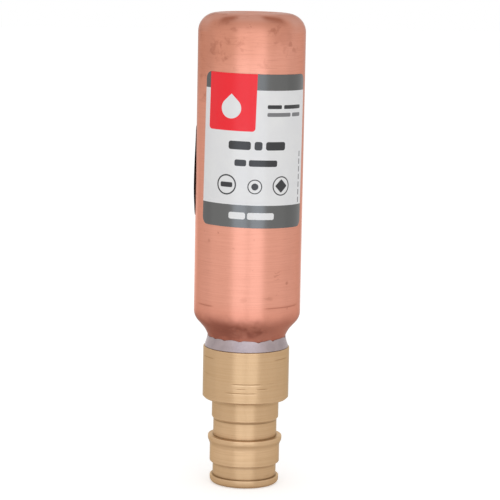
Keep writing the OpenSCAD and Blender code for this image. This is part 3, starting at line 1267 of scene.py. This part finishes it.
@dataclass(frozen=True)
class BrassAdapter:
    """Turned brass adapter: barbed insert, collar and solder cup."""

    bore_r: float = 5.1
    bore_break: float = 0.4
    groove_r: float = 6.75
    bead_r: float = 7.35
    bead_z: float = 1.75
    bead_round: float = 1.0
    land_r: float = 7.42
    land_z: float = 4.65
    barb_r: float = 7.87
    barb_z: float = 8.1
    barb_hollow: float = 2.0
    barb_round: float = 1.2
    barb_slope: float = 25.0
    lip_h: float = 0.6
    upper_groove_h: float = 3.55
    root_r: float = 7.1
    root_taper_h: float = 0.5
    root_h: float = 4.55
    collar_r: float = COLLAR_R
    collar_h: float = 11.15
    collar_chamfer: float = 0.4
    cup_r: float = 8.0
    cup_depth: float = 9.5
    edge_break: float = 0.2
    soft: float = 0.06
    columns: int = 224
    spacing: float = 0.34
    # The last number of a line is the strength of the painted highlight below it
    scores: tuple[Score, ...] = (
        Score(22.65, COLLAR_R, 0.2, 0.06, ((-30.0, 18.0), (96.0, 142.0)), 1.0),
        Score(22.0, COLLAR_R, 0.16, 0.04, ((-24.0, -4.0), (4.0, 26.0), (150.0, 176.0)), 0.5),
        Score(20.9, COLLAR_R, 0.18, 0.05, ((-38.0, 10.0), (-150.0, -118.0)), 0.8),
        Score(27.6, COLLAR_R, 0.16, 0.015, ((-86.0, -52.0), (30.0, 64.0), (170.0, 204.0))),
    )
    finish: BrassFinish = BrassFinish()

    @property
    def flare_turn(self) -> float:
        """Tangent of half the barb's lean."""
        return float(np.tan(np.radians(self.barb_slope) / 2.0))

    @property
    def flare_low_z(self) -> float:
        """Height at which the land's line meets the barb's slope."""
        return self.barb_z + self.barb_hollow * self.flare_turn

    @property
    def flare_high_z(self) -> float:
        """Height at which the barb's slope meets its lip."""
        slope = float(np.tan(np.radians(self.barb_slope)))
        return self.flare_low_z + (self.barb_r - self.land_r) / slope

    @property
    def lip_z(self) -> float:
        """Top of the barb."""
        return self.flare_high_z + self.barb_round * self.flare_turn + self.lip_h

    @property
    def root_z(self) -> float:
        """Foot of the root."""
        return self.lip_z + self.upper_groove_h

    @property
    def collar_z(self) -> float:
        """Underside of the collar."""
        return self.root_z + self.root_h

    @property
    def rim_z(self) -> float:
        """Rim of the solder cup."""
        return self.collar_z + self.collar_h

    def corners(self) -> list[Corner]:
        """Gives the half section's corners, from the bore's lower edge up the outside and back down.

        Returns:
            The corners.
        """
        soft, brk, chamfer = self.soft, self.edge_break, self.collar_chamfer
        cup_z = self.rim_z - self.cup_depth
        return [
            Corner(self.bore_r, self.bore_break, soft),
            Corner(self.bore_r + self.bore_break, 0.0, soft),
            Corner(self.bead_r, 0.0, self.bead_round),
            Corner(self.bead_r, self.bead_z, brk),
            Corner(self.groove_r, self.bead_z, soft),
            Corner(self.groove_r, self.land_z, soft),
            Corner(self.land_r, self.land_z, brk),
            Corner(self.land_r, self.flare_low_z, self.barb_hollow),
            Corner(self.barb_r, self.flare_high_z, self.barb_round),
            Corner(self.barb_r, self.lip_z, brk),
            Corner(self.groove_r, self.lip_z, soft),
            Corner(self.groove_r, self.root_z, soft),
            Corner(self.root_r, self.root_z + self.root_taper_h, soft),
            Corner(self.root_r, self.collar_z, soft),
            Corner(self.collar_r - chamfer, self.collar_z, soft),
            Corner(self.collar_r, self.collar_z + chamfer, soft),
            Corner(self.collar_r, self.rim_z, brk),
            Corner(self.cup_r, self.rim_z, soft),
            Corner(self.cup_r, cup_z, soft),
            Corner(self.bore_r, cup_z, soft),
        ]

    def shade_bands(self, outline: Outline) -> Values:
        """Gives the painted shade on the outside: under the collar, on the slope, under the land and at
        the foot.

        Args:
            outline: The section.

        Returns:
            How much shade is painted at each of its points.
        """
        bands = (
            ShadeBand(self.collar_z - 0.4, 0.3, 0.45),
            ShadeBand((self.flare_low_z + self.flare_high_z) / 2.0, 0.5, 0.28),
            ShadeBand(self.land_z - 0.25, 0.18, 0.65),
            ShadeBand(0.2, 0.4, 0.4),
        )
        # The strongest band of painted shade at each point, on the outside only
        dull = np.max([band.at(outline.z) for band in bands], axis=0)
        return dull * (outline.r > (self.bore_r + self.groove_r) / 2.0)

    def build(self) -> bpy.types.Object:
        """Turns the section, scratches its lines into it and dresses it.

        Returns:
            The piece.
        """
        plain = rounded_outline(self.corners(), True, self.spacing)
        outline = with_rows(plain, self.scores)
        bearing = bearings(self.columns)
        depth = sum(score.depth * score.cut(plain, outline.along, bearing) for score in self.scores)
        r = outline.r[:, None] - depth
        z = np.broadcast_to(outline.z[:, None], r.shape)
        marks = {
            Mark.ALONG: outline.along[:, None],
            # Painted shade in the inner corners and in the bands under the ledges
            Mark.CREVICE: np.maximum(outline.crevice, self.shade_bands(outline))[:, None],
            Mark.EDGE: outline.edge[:, None],
            Mark.SCORE: sum(score.mark(plain, outline.along, bearing) for score in self.scores),
        }
        piece = turned_piece("turned_adapter", r, z, marks, closed=True)
        piece.data.materials.append(self.finish.material())
        settle(piece, "pex_adapter")
        return piece


@dataclass(frozen=True)
class CopperChamber:
    """Copper tube, spun closed at the top and necked to a stub below.

    Attributes:
        dark_reflection_r: Radius of the arcs of painted dark reflection on the crown where they are
            nearest to its middle.
        dark_reflection_mid: Bearing at which they are.
        dark_reflection_slant: How much their radius grows with each degree away from there.
        dark_reflection_w: Half their width.
        pale_reflection_r: Radius of the arcs of painted pale reflection on the crown's rim.
        pale_reflection_w: Half their width.
    """

    stub_z: float
    neck_z: float
    top_z: float
    tube_r: float = TUBE_R
    stub_r: float = STUB_R
    neck_round: float = NECK_ROUND
    wall: float = 1.1
    shoulder_round: float = 3.0
    neck_slope: float = 42.0
    crown_round: float = 3.9
    soft: float = 0.1
    score: Score = Score(
        39.2, TUBE_R, 0.3, 0.05, ((-76.0, -44.0), (8.0, 62.0), (112.0, 158.0), (186.0, 246.0))
    )
    dark_reflection_r: float = 8.7
    dark_reflection_mid: float = -7.75
    dark_reflection_slant: float = 0.036
    dark_reflection_w: float = 0.8
    dark_reflection_fade: float = 12.0
    dark_reflection_spans: Spans = ((-54.0, -22.0), (0.0, 38.0), (118.0, 152.0), (196.0, 238.0))
    pale_reflection_r: float = 10.3
    pale_reflection_w: float = 0.8
    pale_reflection_fade: float = 16.0
    pale_reflection_spans: Spans = ((-108.0, -54.0), (34.0, 92.0), (156.0, 194.0))
    columns: int = 240
    spacing: float = 0.8
    arc_steps: int = 17
    finish: CopperFinish = CopperFinish()

    @property
    def half_lean(self) -> float:
        """Tangent of half the neck's lean."""
        return float(np.tan(np.radians(self.neck_slope) / 2.0))

    @property
    def slope_z(self) -> float:
        """Height at which the stub's line meets the neck's slope."""
        return self.neck_z + self.neck_round * self.half_lean

    @property
    def shoulder_z(self) -> float:
        """Height at which the neck's slope meets the tube's wall."""
        slope = float(np.tan(np.radians(self.neck_slope)))
        return self.slope_z + (self.tube_r - self.stub_r) / slope

    def side(self, inset: float) -> list[Corner]:
        """Gives the corners of one face of the wall, from the stub's end up to the axis.

        Those of the neck rise by inset * tan(slope / 2), as parallel lines' corners do.

        Args:
            inset: Distance of the face inside the tube's outer face.

        Returns:
            The corners.
        """
        rise = inset * self.half_lean
        stub_r, tube_r, top_z = self.stub_r - inset, self.tube_r - inset, self.top_z - inset
        return [
            Corner(stub_r, self.stub_z, self.soft),
            Corner(stub_r, self.slope_z + rise, self.neck_round + inset),
            Corner(tube_r, self.shoulder_z + rise, self.shoulder_round - inset),
            Corner(tube_r, top_z, self.crown_round - inset),
            Corner(0.0, top_z),
        ]

    def painted_reflections(self, outline: Outline, bearing: Values) -> Values:
        """Gives the painted dark reflections on the crown, in arcs, less the painted pale reflections on
        its rim.

        Each is a Gaussian about a ring, over some bearings. The ring of the dark reflections widens away
        from the front, as far as that of the pale ones.

        Args:
            outline: The section.
            bearing: Bearing of each column.

        Returns:
            The share by row and column, from -1 where a pale reflection is painted to 1 where a dark one
            is.
        """
        r = outline.r[:, None]
        widened = self.dark_reflection_r + self.dark_reflection_slant * np.abs(bearing - self.dark_reflection_mid)
        ring = np.minimum(widened, self.pale_reflection_r)
        # Painted dark reflections in arcs on the crown
        dull = np.exp(-(((r - ring[None, :]) / self.dark_reflection_w) ** 2))
        pale_reflection = np.exp(-(((r - self.pale_reflection_r) / self.pale_reflection_w) ** 2))
        dull = dull * stretches(bearing, self.dark_reflection_spans, self.dark_reflection_fade)
        pale_reflection = pale_reflection * stretches(bearing, self.pale_reflection_spans, self.pale_reflection_fade)
        return (dull - pale_reflection) * (outline.z > self.top_z - self.crown_round)[:, None]

    def build(self) -> bpy.types.Object:
        """Turns the section, scores the broken line into it and dresses it.

        Returns:
            The piece.
        """
        corners = self.side(self.wall)[::-1] + self.side(0.0)
        plain = rounded_outline(corners, False, self.spacing, self.arc_steps)
        outline = with_rows(plain, [self.score])
        bearing = bearings(self.columns)
        groove = self.score.cut(plain, outline.along, bearing)
        r = outline.r[:, None] - self.score.depth * groove
        z = np.broadcast_to(outline.z[:, None], r.shape)
        marks = {
            Mark.ALONG: outline.along[:, None],
            Mark.SCORE: groove,
            # Painted dark and pale reflections on the crown
            Mark.SMEAR: self.painted_reflections(outline, bearing),
        }
        piece = turned_piece("spun_chamber", r, z, marks, closed=False)
        piece.data.materials.append(self.finish.material())
        settle(piece, "copper_chamber")
        return piece


@dataclass(frozen=True)
class SolderRing:
    """Ring of solder in the corner between the collar's rim and the copper neck.

    Attributes:
        edge: How far its upper edge stands off the copper.
        ragged: Height of the wave on that edge.
        hollow: Power of the height left that its radius follows.
        pull: Power of the height at which a row follows the wave on the edge.
        swell: Height of the wave on its face.
        dip: Greatest depth of the places where it drew back.
        dip_w: Mean half width of those places, in degrees.
        front_dips: Bearings of those in front.
        back_dips: How many more there are.
        back_span: First and last bearing of those.
        dip_depths: Least and greatest share of the depth.
        dip_widths: Least and greatest share of the width.
    """

    rim_z: float
    neck_z: float
    stub_r: float = STUB_R
    neck_round: float = NECK_ROUND
    foot_r: float = 8.94
    foot_round: float = 0.16
    height: float = 2.35
    edge: float = 0.05
    ragged: float = 0.07
    ragged_wave: Wave = Wave(3, 3, 26)
    hollow: float = 1.35
    pull: int = 4
    swell: float = 0.02
    swell_wave: Wave = Wave(8, 2, 7)
    dip: float = 0.3
    dip_w: float = 4.0
    front_dips: tuple[float, ...] = (-42.0, -17.0, 10.0, 34.0)
    back_dips: int = 11
    back_span: tuple[float, float] = (60.0, 300.0)
    dip_depths: tuple[float, float] = (0.35, 1.0)
    dip_widths: tuple[float, float] = (0.6, 1.2)
    dip_seed: int = 5
    columns: int = 320
    rows: int = 40
    finish: SolderFinish = SolderFinish()

    def neck_r(self, z: Values) -> Values:
        """Gives the copper's radius at a height: straight below the neck, then its hollow round."""
        up = np.maximum(0.0, z - self.neck_z)
        return self.stub_r + self.neck_round - np.sqrt(self.neck_round**2 - up**2)

    def dips(self) -> Values:
        """Gives how far the solder drew back: Gaussian dips of random depth and width at some bearings.

        Returns:
            The depth at each column.
        """
        draw = np.random.default_rng(self.dip_seed)
        middles = np.concatenate([self.front_dips, draw.uniform(*self.back_span, self.back_dips)])
        depths = self.dip * draw.uniform(*self.dip_depths, middles.size)
        widths = self.dip_w * draw.uniform(*self.dip_widths, middles.size)
        off = signed(bearings(self.columns)[:, None] - middles[None, :])
        return (depths * np.exp(-((off / widths) ** 2))).max(1)

    def build(self) -> bpy.types.Object:
        """Makes the ring and dresses it.

        Its top edge is a wave round the axis, with Gaussian dips where it drew back. Between the rim
        and that edge its radius follows a hollow curve, a power of the height left, and it swells with
        a second wave. Its foot is rounded under, and its inner face lies on the copper.

        Returns:
            The piece.
        """
        angle = 2.0 * np.pi * np.arange(self.columns) / self.columns
        top = self.rim_z + self.height + self.ragged * self.ragged_wave.at(angle) - self.dips()
        t = np.linspace(0.0, 1.0, self.rows)[:, None]
        z = self.rim_z + t * self.height + t**self.pull * (top - self.rim_z - self.height)[None, :]
        edge_r = float(self.neck_r(np.array(self.rim_z + self.height))) + self.edge
        left = np.clip(1.0 - (z - self.rim_z) / self.height, 0.0, 1.0)
        swell = self.swell * self.swell_wave.at(angle)[None, :] * np.sin(np.pi * t)
        hollow = edge_r + (self.foot_r - edge_r) * left**self.hollow
        r = np.maximum(hollow, self.neck_r(z) + self.edge) + swell
        tuck = np.clip(1.0 - (z - self.rim_z) / self.foot_round, 0.0, 1.0)
        r = r - self.foot_round * (1.0 - np.sqrt(1.0 - tuck**2))
        both_r = np.vstack([r, self.neck_r(z[::-1])])
        both_z = np.vstack([z, z[::-1]])
        # The foot's tuck also sets the painted shade where the solder meets the rim
        marks = {Mark.CREVICE: np.concatenate([tuck, np.zeros_like(tuck)])}
        piece = turned_piece("solder_fillet", both_r, both_z, marks, closed=True)
        piece.data.materials.append(self.finish.material())
        settle(piece, "solder_joint")
        return piece


def crowded(count: int) -> Values:
    """Gives numbers from -1 to 1 that crowd towards both ends by a sine."""
    return np.sin(np.linspace(-0.5, 0.5, count) * np.pi)


@dataclass(frozen=True)
class WrappedFilm:
    """A label's film round the tube, with round corners.

    Attributes:
        turn: Bearing of its middle from the front.
        mid_z: Height of its middle.
        skew: Its lean off the axis.
        lift: How far its edge on the side of growing bearing stands off the tube.
        lift_mid: Height, from the middle, at which that edge stands off most.
        lift_below: How far below that height it still stands off.
        lift_above: How far above that height it still stands off.
        lift_width: Width of the film that stands off.
        curl: Power of its distance from there to which it curls.
        hump: Power of a cosine to which it falls up and down the edge.
    """

    name: str
    node: str
    slot: str
    turn: float
    mid_z: float
    skew: float
    width: float
    height: float
    corner: float = 1.5
    inner_r: float = 11.27
    thick: float = 0.1
    lift: float = 0.0
    lift_mid: float = 0.0
    lift_below: float = 1.0
    lift_above: float = 1.0
    lift_width: float = 3.0
    curl: int = 2
    hump: float = 1.5
    rows: int = 73
    columns: int = 97

    def sheet(self) -> tuple[Values, Values]:
        """Spreads a grid over the film's flat shape.

        The rows crowd towards both ends, and each row's half width is the film's less
        corner - sqrt(corner^2 - d^2), where d is how far the row lies inside a corner's round.

        Returns:
            Distance along and up the film from its middle, by row and column.
        """
        up = crowded(self.rows) * self.height / 2.0
        into = np.maximum(0.0, np.abs(up) - (self.height / 2.0 - self.corner))
        half = self.width / 2.0 - (self.corner - np.sqrt(np.maximum(0.0, self.corner**2 - into**2)))
        along = half[:, None] * crowded(self.columns)[None, :]
        return along, np.broadcast_to(up[:, None], along.shape)

    def on_tube(self, along: Values, up: Values, r: Values) -> Values:
        """Wraps a grid round the tube.

        The bearing is (along + up * tan(skew)) / inner radius, and the height falls by the inner radius
        times the bearing's sine times tan(skew), so that the film's sides stay square to each other.

        Args:
            along: Distance along the film.
            up: Distance up the film.
            r: Radius at each point.

        Returns:
            The points, one row each.
        """
        lean = np.tan(np.radians(self.skew))
        bearing = (along + up * lean) / self.inner_r
        height = self.mid_z + up - self.inner_r * np.sin(bearing) * lean
        angle = bearing + np.radians(self.turn)
        return np.stack([r * np.sin(angle), -r * np.cos(angle), height], -1).reshape(-1, 3)

    def stand_off(self, along: Values, up: Values) -> Values:
        """Gives how far the film stands off the tube: a hump up the edge times the curl towards it.

        Args:
            along: Distance along the film.
            up: Distance up the film.

        Returns:
            How far it stands off at each point.
        """
        near = np.clip(1.0 - (self.width / 2.0 - along) / self.lift_width, 0.0, 1.0)
        above = up - self.lift_mid
        off = np.clip(np.maximum(above / self.lift_above, -above / self.lift_below), 0.0, 1.0)
        return self.lift * near**self.curl * np.cos(off * np.pi / 2.0) ** self.hump

    def build(self, material: bpy.types.Material) -> bpy.types.Object:
        """Makes the film as a closed skin with its own map, and dresses it.

        Args:
            material: Its finish.

        Returns:
            The piece.
        """
        along, up = self.sheet()
        low = self.inner_r + self.stand_off(along, up)
        points = np.vstack([self.on_tube(along, up, low + self.thick), self.on_tube(along, up, low)])
        count = along.size
        outer = np.arange(count).reshape(along.shape)
        around = [outer[:-1, :-1], outer[:-1, 1:], outer[1:, 1:], outer[1:, :-1]]
        quads = np.stack(around, -1).reshape(-1, 4)
        rim = np.concatenate([outer[0, :-1], outer[:-1, -1], outer[-1, :0:-1], outer[:0:-1, 0]])
        ahead = np.roll(rim, -1)
        walls = np.stack([rim, rim + count, ahead + count, ahead], -1)
        faces = np.vstack([quads, quads[:, ::-1] + count, walls])
        piece = new_object(self.name, points, faces.tolist())
        share = np.stack([along / self.width, up / self.height], -1).reshape(-1, 2) + 0.5
        corners = np.empty(len(piece.data.loops), np.int32)
        piece.data.loops.foreach_get("vertex_index", corners)
        layer = piece.data.uv_layers.new(name=LABEL_MAP)
        layer.data.foreach_set("uv", share[corners % count].astype(np.float32).ravel())
        piece.data.materials.append(material)
        settle(piece, self.node)
        return piece


@dataclass(frozen=True)
class FrontPrint:
    """Layout of the front label's print: plain bands, a red tab with a drop, bars and rings.

    Attributes:
        bleed: How far the bands and the tab are printed past the label's edge.
        bar_round: Round of a bar's corners, as a share of its lesser side.
        tip: Side of the square that makes a drop's tip, as a share of the drop's half width.
    """

    width: float
    height: float
    top_band: float = 3.3
    bottom_band: float = 4.7
    tab_x: float = 1.4
    tab_w: float = 10.4
    tab_h: float = 11.8
    tab_round: float = 0.7
    bleed: float = 1.0
    bar_round: float = 0.28
    tip: float = 0.94

    def bars(self, ink: Ink, y: float, h: float, spans: Spans) -> list[Patch]:
        """Gives one line of bars.

        Args:
            ink: Their ink.
            y: Top of the line.
            h: Height of the line.
            spans: Left end and width of each bar.

        Returns:
            The bars.
        """
        return [Patch(ink, x, y, w, h, round=min(h, w) * self.bar_round) for x, w in spans]

    def disc(self, ink: Ink, x: float, y: float, size: float) -> Patch:
        """Gives a disc from its middle and its diameter."""
        half = size / 2.0
        return Patch(ink, x - half, y - half, size, size, half)

    def ring(self, x: float, y: float, size: float, line: float) -> list[Patch]:
        """Gives a dark ring as a disc with a smaller white disc on it.

        Args:
            x: Its middle, from the left.
            y: Its middle, from the top.
            size: Its diameter.
            line: Width of its line.

        Returns:
            The two discs.
        """
        return [self.disc(Ink.DARK, x, y, size), self.disc(Ink.WHITE, x, y, size - 2.0 * line)]

    def drop(self, x: float, y: float, size: float) -> list[Patch]:
        """Gives a water drop: a disc, and a square turned on its corner that makes its tip.

        Args:
            x: Its disc's middle, from the left.
            y: Its disc's middle, from the top.
            size: Its disc's diameter.

        Returns:
            The disc and the square.
        """
        half = size / 2.0
        tip = half * self.tip
        rise = half * np.sqrt(2.0) - tip / np.sqrt(2.0)
        square = Patch(Ink.WHITE, x - tip / 2.0, y - rise - tip / 2.0, tip, tip, turn=45.0)
        return [self.disc(Ink.WHITE, x, y, size), square]

    def patches(self) -> tuple[Patch, ...]:
        """Gives every patch, in the order in which it is printed.

        Returns:
            The patches.
        """
        out, wide = self.bleed, self.width + 2.0 * self.bleed
        low = self.height - self.bottom_band
        return (
            Patch(Ink.GREY, -out, -out, wide, self.top_band + out),
            Patch(Ink.GREY, -out, low, wide, self.bottom_band + out),
            Patch(Ink.RED, self.tab_x, -out, self.tab_w, self.tab_h + out, self.tab_round),
            *self.drop(self.tab_x + self.tab_w / 2.0, 7.2, 4.2),
            *self.bars(Ink.DARK, 6.3, 0.75, ((14.2, 3.2), (18.0, 5.0))),
            *self.bars(Ink.SOFT, 7.9, 0.75, ((14.2, 5.6), (20.3, 2.7))),
            *self.bars(Ink.DARK, 13.9, 1.7, ((6.4, 4.6), (11.8, 1.6), (14.2, 4.4))),
            *self.bars(Ink.DARK, 17.7, 1.3, ((7.8, 2.4), (10.8, 6.0))),
            *self.ring(6.2, 23.0, 4.2, 0.3),
            *self.bars(Ink.DARK, 22.5, 1.0, ((4.9, 2.6),)),
            *self.ring(12.2, 23.2, 3.0, 0.22),
            self.disc(Ink.DARK, 12.2, 23.2, 1.4),
            *self.ring(18.0, 23.0, 4.0, 0.25),
            Patch(Ink.DARK, 17.0, 22.0, 2.0, 2.0, 0.2, 45.0),
            *self.bars(Ink.WHITE, low + 1.55, 1.35, ((7.0, 3.4), (10.9, 5.6))),
            *(Patch(Ink.SOFT, 23.3, y, 0.35, 1.1, 0.1) for y in np.arange(16.0, 26.0, 1.6)),
        )


@dataclass(frozen=True)
class PistonSet:
    """The piston and its two seals, which keep their solids and get their finishes."""

    plastic: PlainFinish = MOULDED_PLASTIC
    rubber: PlainFinish = SEAL_RUBBER

    def dress(self, nodes: dict[str, bpy.types.Object]) -> None:
        """Gives the three solids their finishes.

        Args:
            nodes: The CAD nodes by name.
        """
        plastic, rubber = self.plastic.material(), self.rubber.material()
        for name, material in (("piston", plastic), ("lower_o_ring", rubber), ("upper_o_ring", rubber)):
            mesh = nodes[name].data
            mesh.materials.clear()
            mesh.materials.append(material)
            LOG.info("%s keeps its solid, in %s", name, material.name)


# Studio


def swung(a: Values, b: Values, angle: float) -> tuple[Values, Values]:
    """Turns two square arms by an angle: a cos + b sin, and b cos - a sin."""
    return a * np.cos(angle) + b * np.sin(angle), b * np.cos(angle) - a * np.sin(angle)


@dataclass(frozen=True)
class CameraRig:
    """Camera at the photograph's viewing angle, with no shift.

    Attributes:
        reach: Its distance from the part's axis.
        height: Its height.
        swing: Its bearing from the front, towards +X.
        aim_z: Height at which it looks at the axis.
        aside: Its turn to the right of the axis.
        roll: How far the part's axis leans to the right in the picture.
        clip: Nearest and furthest distance that it sees.
    """

    lens: float = 174.6
    sensor: float = 36.0
    reach: float = 506.5
    height: float = 126.75
    swing: float = -7.75
    aim_z: float = 50.1
    aside: float = 0.046
    roll: float = 1.06
    clip: tuple[float, float] = (10.0, 20000.0)

    def build(self) -> bpy.types.Object:
        """Makes the camera and sets it as the scene's.

        Returns:
            The camera.
        """
        bearing, aside, roll = np.radians([self.swing, self.aside, self.roll])
        at = np.array([np.sin(bearing) * self.reach, -np.cos(bearing) * self.reach, self.height])
        ahead = np.array([0.0, 0.0, self.aim_z]) - at
        ahead /= np.linalg.norm(ahead)
        right = np.cross(ahead, [0.0, 0.0, 1.0])
        right /= np.linalg.norm(right)
        up = np.cross(right, ahead)
        ahead, right = swung(ahead, right, aside)
        right, up = swung(right, up, roll)
        data = bpy.data.cameras.new("camera")
        data.lens, data.sensor_width = self.lens, self.sensor
        data.clip_start, data.clip_end = self.clip[0] * MM, self.clip[1] * MM
        camera = bpy.data.objects.new("camera", data)
        turned = Matrix(np.stack([right, up, -ahead], axis=1).tolist()).to_4x4()
        camera.matrix_world = Matrix.Translation(Vector((at * MM).tolist())) @ turned
        bpy.context.scene.collection.objects.link(camera)
        bpy.context.scene.camera = camera
        return camera


@dataclass(frozen=True)
class SoftBox:
    """A lamp with an even rectangular face, turned towards the part.

    Attributes:
        bearing: Its bearing from the front, towards +X.
        reach: Its distance from the part's axis.
        mid_z: Height of its middle.
        aim_z: Height on the axis that it faces.
        radiance: Brightness of its face, where a white floor has 1.
        serves: Surfaces that it lights.
        tone: Colour of its light, about 1 in each part.
    """

    name: str
    bearing: float
    reach: float
    mid_z: float
    width: float
    height: float
    radiance: float
    aim_z: float
    serves: Serves
    tone: Triple = (1.0, 1.0, 1.0)

    def build(self) -> bpy.types.Object:
        """Makes the lamp, hidden from the camera.

        Returns:
            The lamp.
        """
        data = bpy.data.lights.new(self.name, "AREA")
        data.shape = "RECTANGLE"
        data.size, data.size_y = self.width * MM, self.height * MM
        data.color = self.tone
        data.energy = self.radiance * np.pi * data.size * data.size_y
        lamp = bpy.data.objects.new(self.name, data)
        angle = np.radians(self.bearing)
        at = Vector((np.sin(angle) * self.reach, -np.cos(angle) * self.reach, self.mid_z)) * MM
        face = at - Vector((0.0, 0.0, self.aim_z * MM))
        lamp.matrix_world = Matrix.Translation(at) @ face.to_track_quat("Z", "Y").to_matrix().to_4x4()
        lamp.visible_camera = False
        lamp.visible_diffuse = self.serves is Serves.MATTE
        lamp.visible_glossy = self.serves is Serves.GLOSS
        bpy.context.scene.collection.objects.link(lamp)
        return lamp


@dataclass(frozen=True)
class Studio:
    """Pale floor, white surroundings and soft lamps.

    Attributes:
        floor_half: Half the floor's side.
        floor_drop: How far the floor lies under the part.
        floor_shade: Its shade.
        floor_lift: Light that it gives off where it is seen.
        ambient: Brightness of the surroundings where they light matte surfaces.
        lamps: The lamps.
    """

    floor_half: float = 1600.0
    floor_drop: float = 0.02
    floor_shade: Shade = (236, 236, 236)
    floor_lift: float = 0.42
    ambient: float = 0.72
    lamps: tuple[SoftBox, ...] = (
        SoftBox("front_fill", -4.0, 700.0, 330.0, 980.0, 660.0, 0.8, 50.0, Serves.MATTE),
        SoftBox("left_strip", -25.5, 150.0, 40.0, 80.0, 44.0, 1.46, 40.0, Serves.GLOSS, COOL),
        SoftBox("right_strip", 10.0, 150.0, 40.0, 80.0, 44.0, 1.46, 40.0, Serves.GLOSS, COOL),
        SoftBox("upper_panel", -7.75, 150.0, 140.0, 190.0, 150.0, 0.78, 140.0, Serves.GLOSS, COOL),
        SoftBox("low_strip", -7.0, 70.0, 6.0, 80.0, 12.0, 1.15, 6.0, Serves.GLOSS, COOL),
        SoftBox("back_left_strip", -164.0, 150.0, 30.0, 80.0, 32.0, 0.7, 30.0, Serves.GLOSS),
        SoftBox("back_right_strip", 160.0, 150.0, 30.0, 80.0, 32.0, 0.7, 30.0, Serves.GLOSS),
        SoftBox("left_wing", -67.0, 200.0, 120.0, 204.0, 240.0, 0.22, 120.0, Serves.GLOSS),
        SoftBox("right_wing", 50.0, 200.0, 120.0, 180.0, 240.0, 0.16, 120.0, Serves.GLOSS),
    )

    def seen(self, bench: NodeBench) -> Socket:
        """Tells rays from the camera, a gloss or a clear body from the rest.

        Args:
            bench: The tree under construction.

        Returns:
            1 for those rays, and 0 for the rest.
        """
        path = bench.put("ShaderNodeLightPath").outputs
        seen = bench.math("MAXIMUM", path["Is Camera Ray"], path["Is Glossy Ray"])
        return bench.math("MAXIMUM", seen, path["Is Transmission Ray"])

    def floor_material(self) -> bpy.types.Material:
        """Builds the floor's finish: pale, matte, lifted to white where it is seen, clear from below.

        Returns:
            The material.
        """
        bench = NodeBench(bpy.data.materials.new("pale_floor"))
        matte = bench.put_fed("ShaderNodeBsdfDiffuse", {"Color": linear(self.floor_shade)})
        lift = bench.math("MULTIPLY", self.seen(bench), self.floor_lift)
        glow = bench.put_fed("ShaderNodeEmission", {"Strength": lift})
        both = bench.put("ShaderNodeAddShader", matte.outputs[0], glow.outputs[0])
        below = bench.put("ShaderNodeNewGeometry").outputs["Backfacing"]
        clear = bench.put("ShaderNodeBsdfTransparent")
        bench.close(bench.put("ShaderNodeMixShader", below, both.outputs[0], clear.outputs[0]))
        return bench.owner

    def build_floor(self) -> None:
        """Lays the floor just under the part."""
        corners = ((-1.0, -1.0), (1.0, -1.0), (1.0, 1.0), (-1.0, 1.0))
        half = self.floor_half
        points = np.array([(x * half, y * half, -self.floor_drop) for x, y in corners])
        floor = new_object("studio_floor", points, [[0, 1, 2, 3]])
        floor.data.materials.append(self.floor_material())

    def build_world(self) -> None:
        """Surrounds the part with white, dimmer where it lights matte surfaces."""
        world = bpy.data.worlds.new("studio")
        bpy.context.scene.world = world
        bench = NodeBench(world)
        level = bench.between(self.seen(bench), Ramp(0.0, 1.0, self.ambient, 1.0))
        white = (1.0, 1.0, 1.0, 1.0)
        back = bench.put_fed("ShaderNodeBackground", {"Color": white, "Strength": level})
        bench.close(back, "ShaderNodeOutputWorld")

    def build(self) -> None:
        """Builds the floor, the surroundings and the lamps."""
        bpy.context.scene.view_settings.view_transform = "Standard"
        self.build_floor()
        self.build_world()
        for lamp in self.lamps:
            lamp.build()
            LOG.info("lamp %s", lamp.name)


def main() -> None:
    """Builds the studio and the part's sub-assemblies in order."""
    logging.basicConfig(level=logging.INFO, format="%(name)s: %(message)s")
    CameraRig().build()
    Studio().build()
    adapter = BrassAdapter()
    adapter.build()
    neck_z = adapter.rim_z + STUB_RISE
    top_z = adapter.rim_z + CHAMBER_H
    CopperChamber(stub_z=adapter.rim_z - adapter.cup_depth, neck_z=neck_z, top_z=top_z).build()
    SolderRing(rim_z=adapter.rim_z, neck_z=neck_z).build()
    printed = FrontPrint(width=24.8, height=31.8)
    front = WrappedFilm(
        name="front_film", node="front_label", slot="label_film", turn=0.0, mid_z=72.2245, skew=1.4,
        width=printed.width, height=printed.height,
    )
    front.build(PrintedFilm(printed.width, printed.height, printed.patches()).material())
    rear = WrappedFilm(
        name="rear_film", node="rear_label", slot="rear_film", turn=180.0, mid_z=66.7245, skew=0.0,
        width=32.6, height=19.0, lift=0.3, lift_mid=-3.0, lift_below=7.6, lift_above=12.6,
    )
    rear.build(DARK_FILM.material())
    PistonSet().dress(frame["nodes"])


if __name__ == "__main__":
    main()
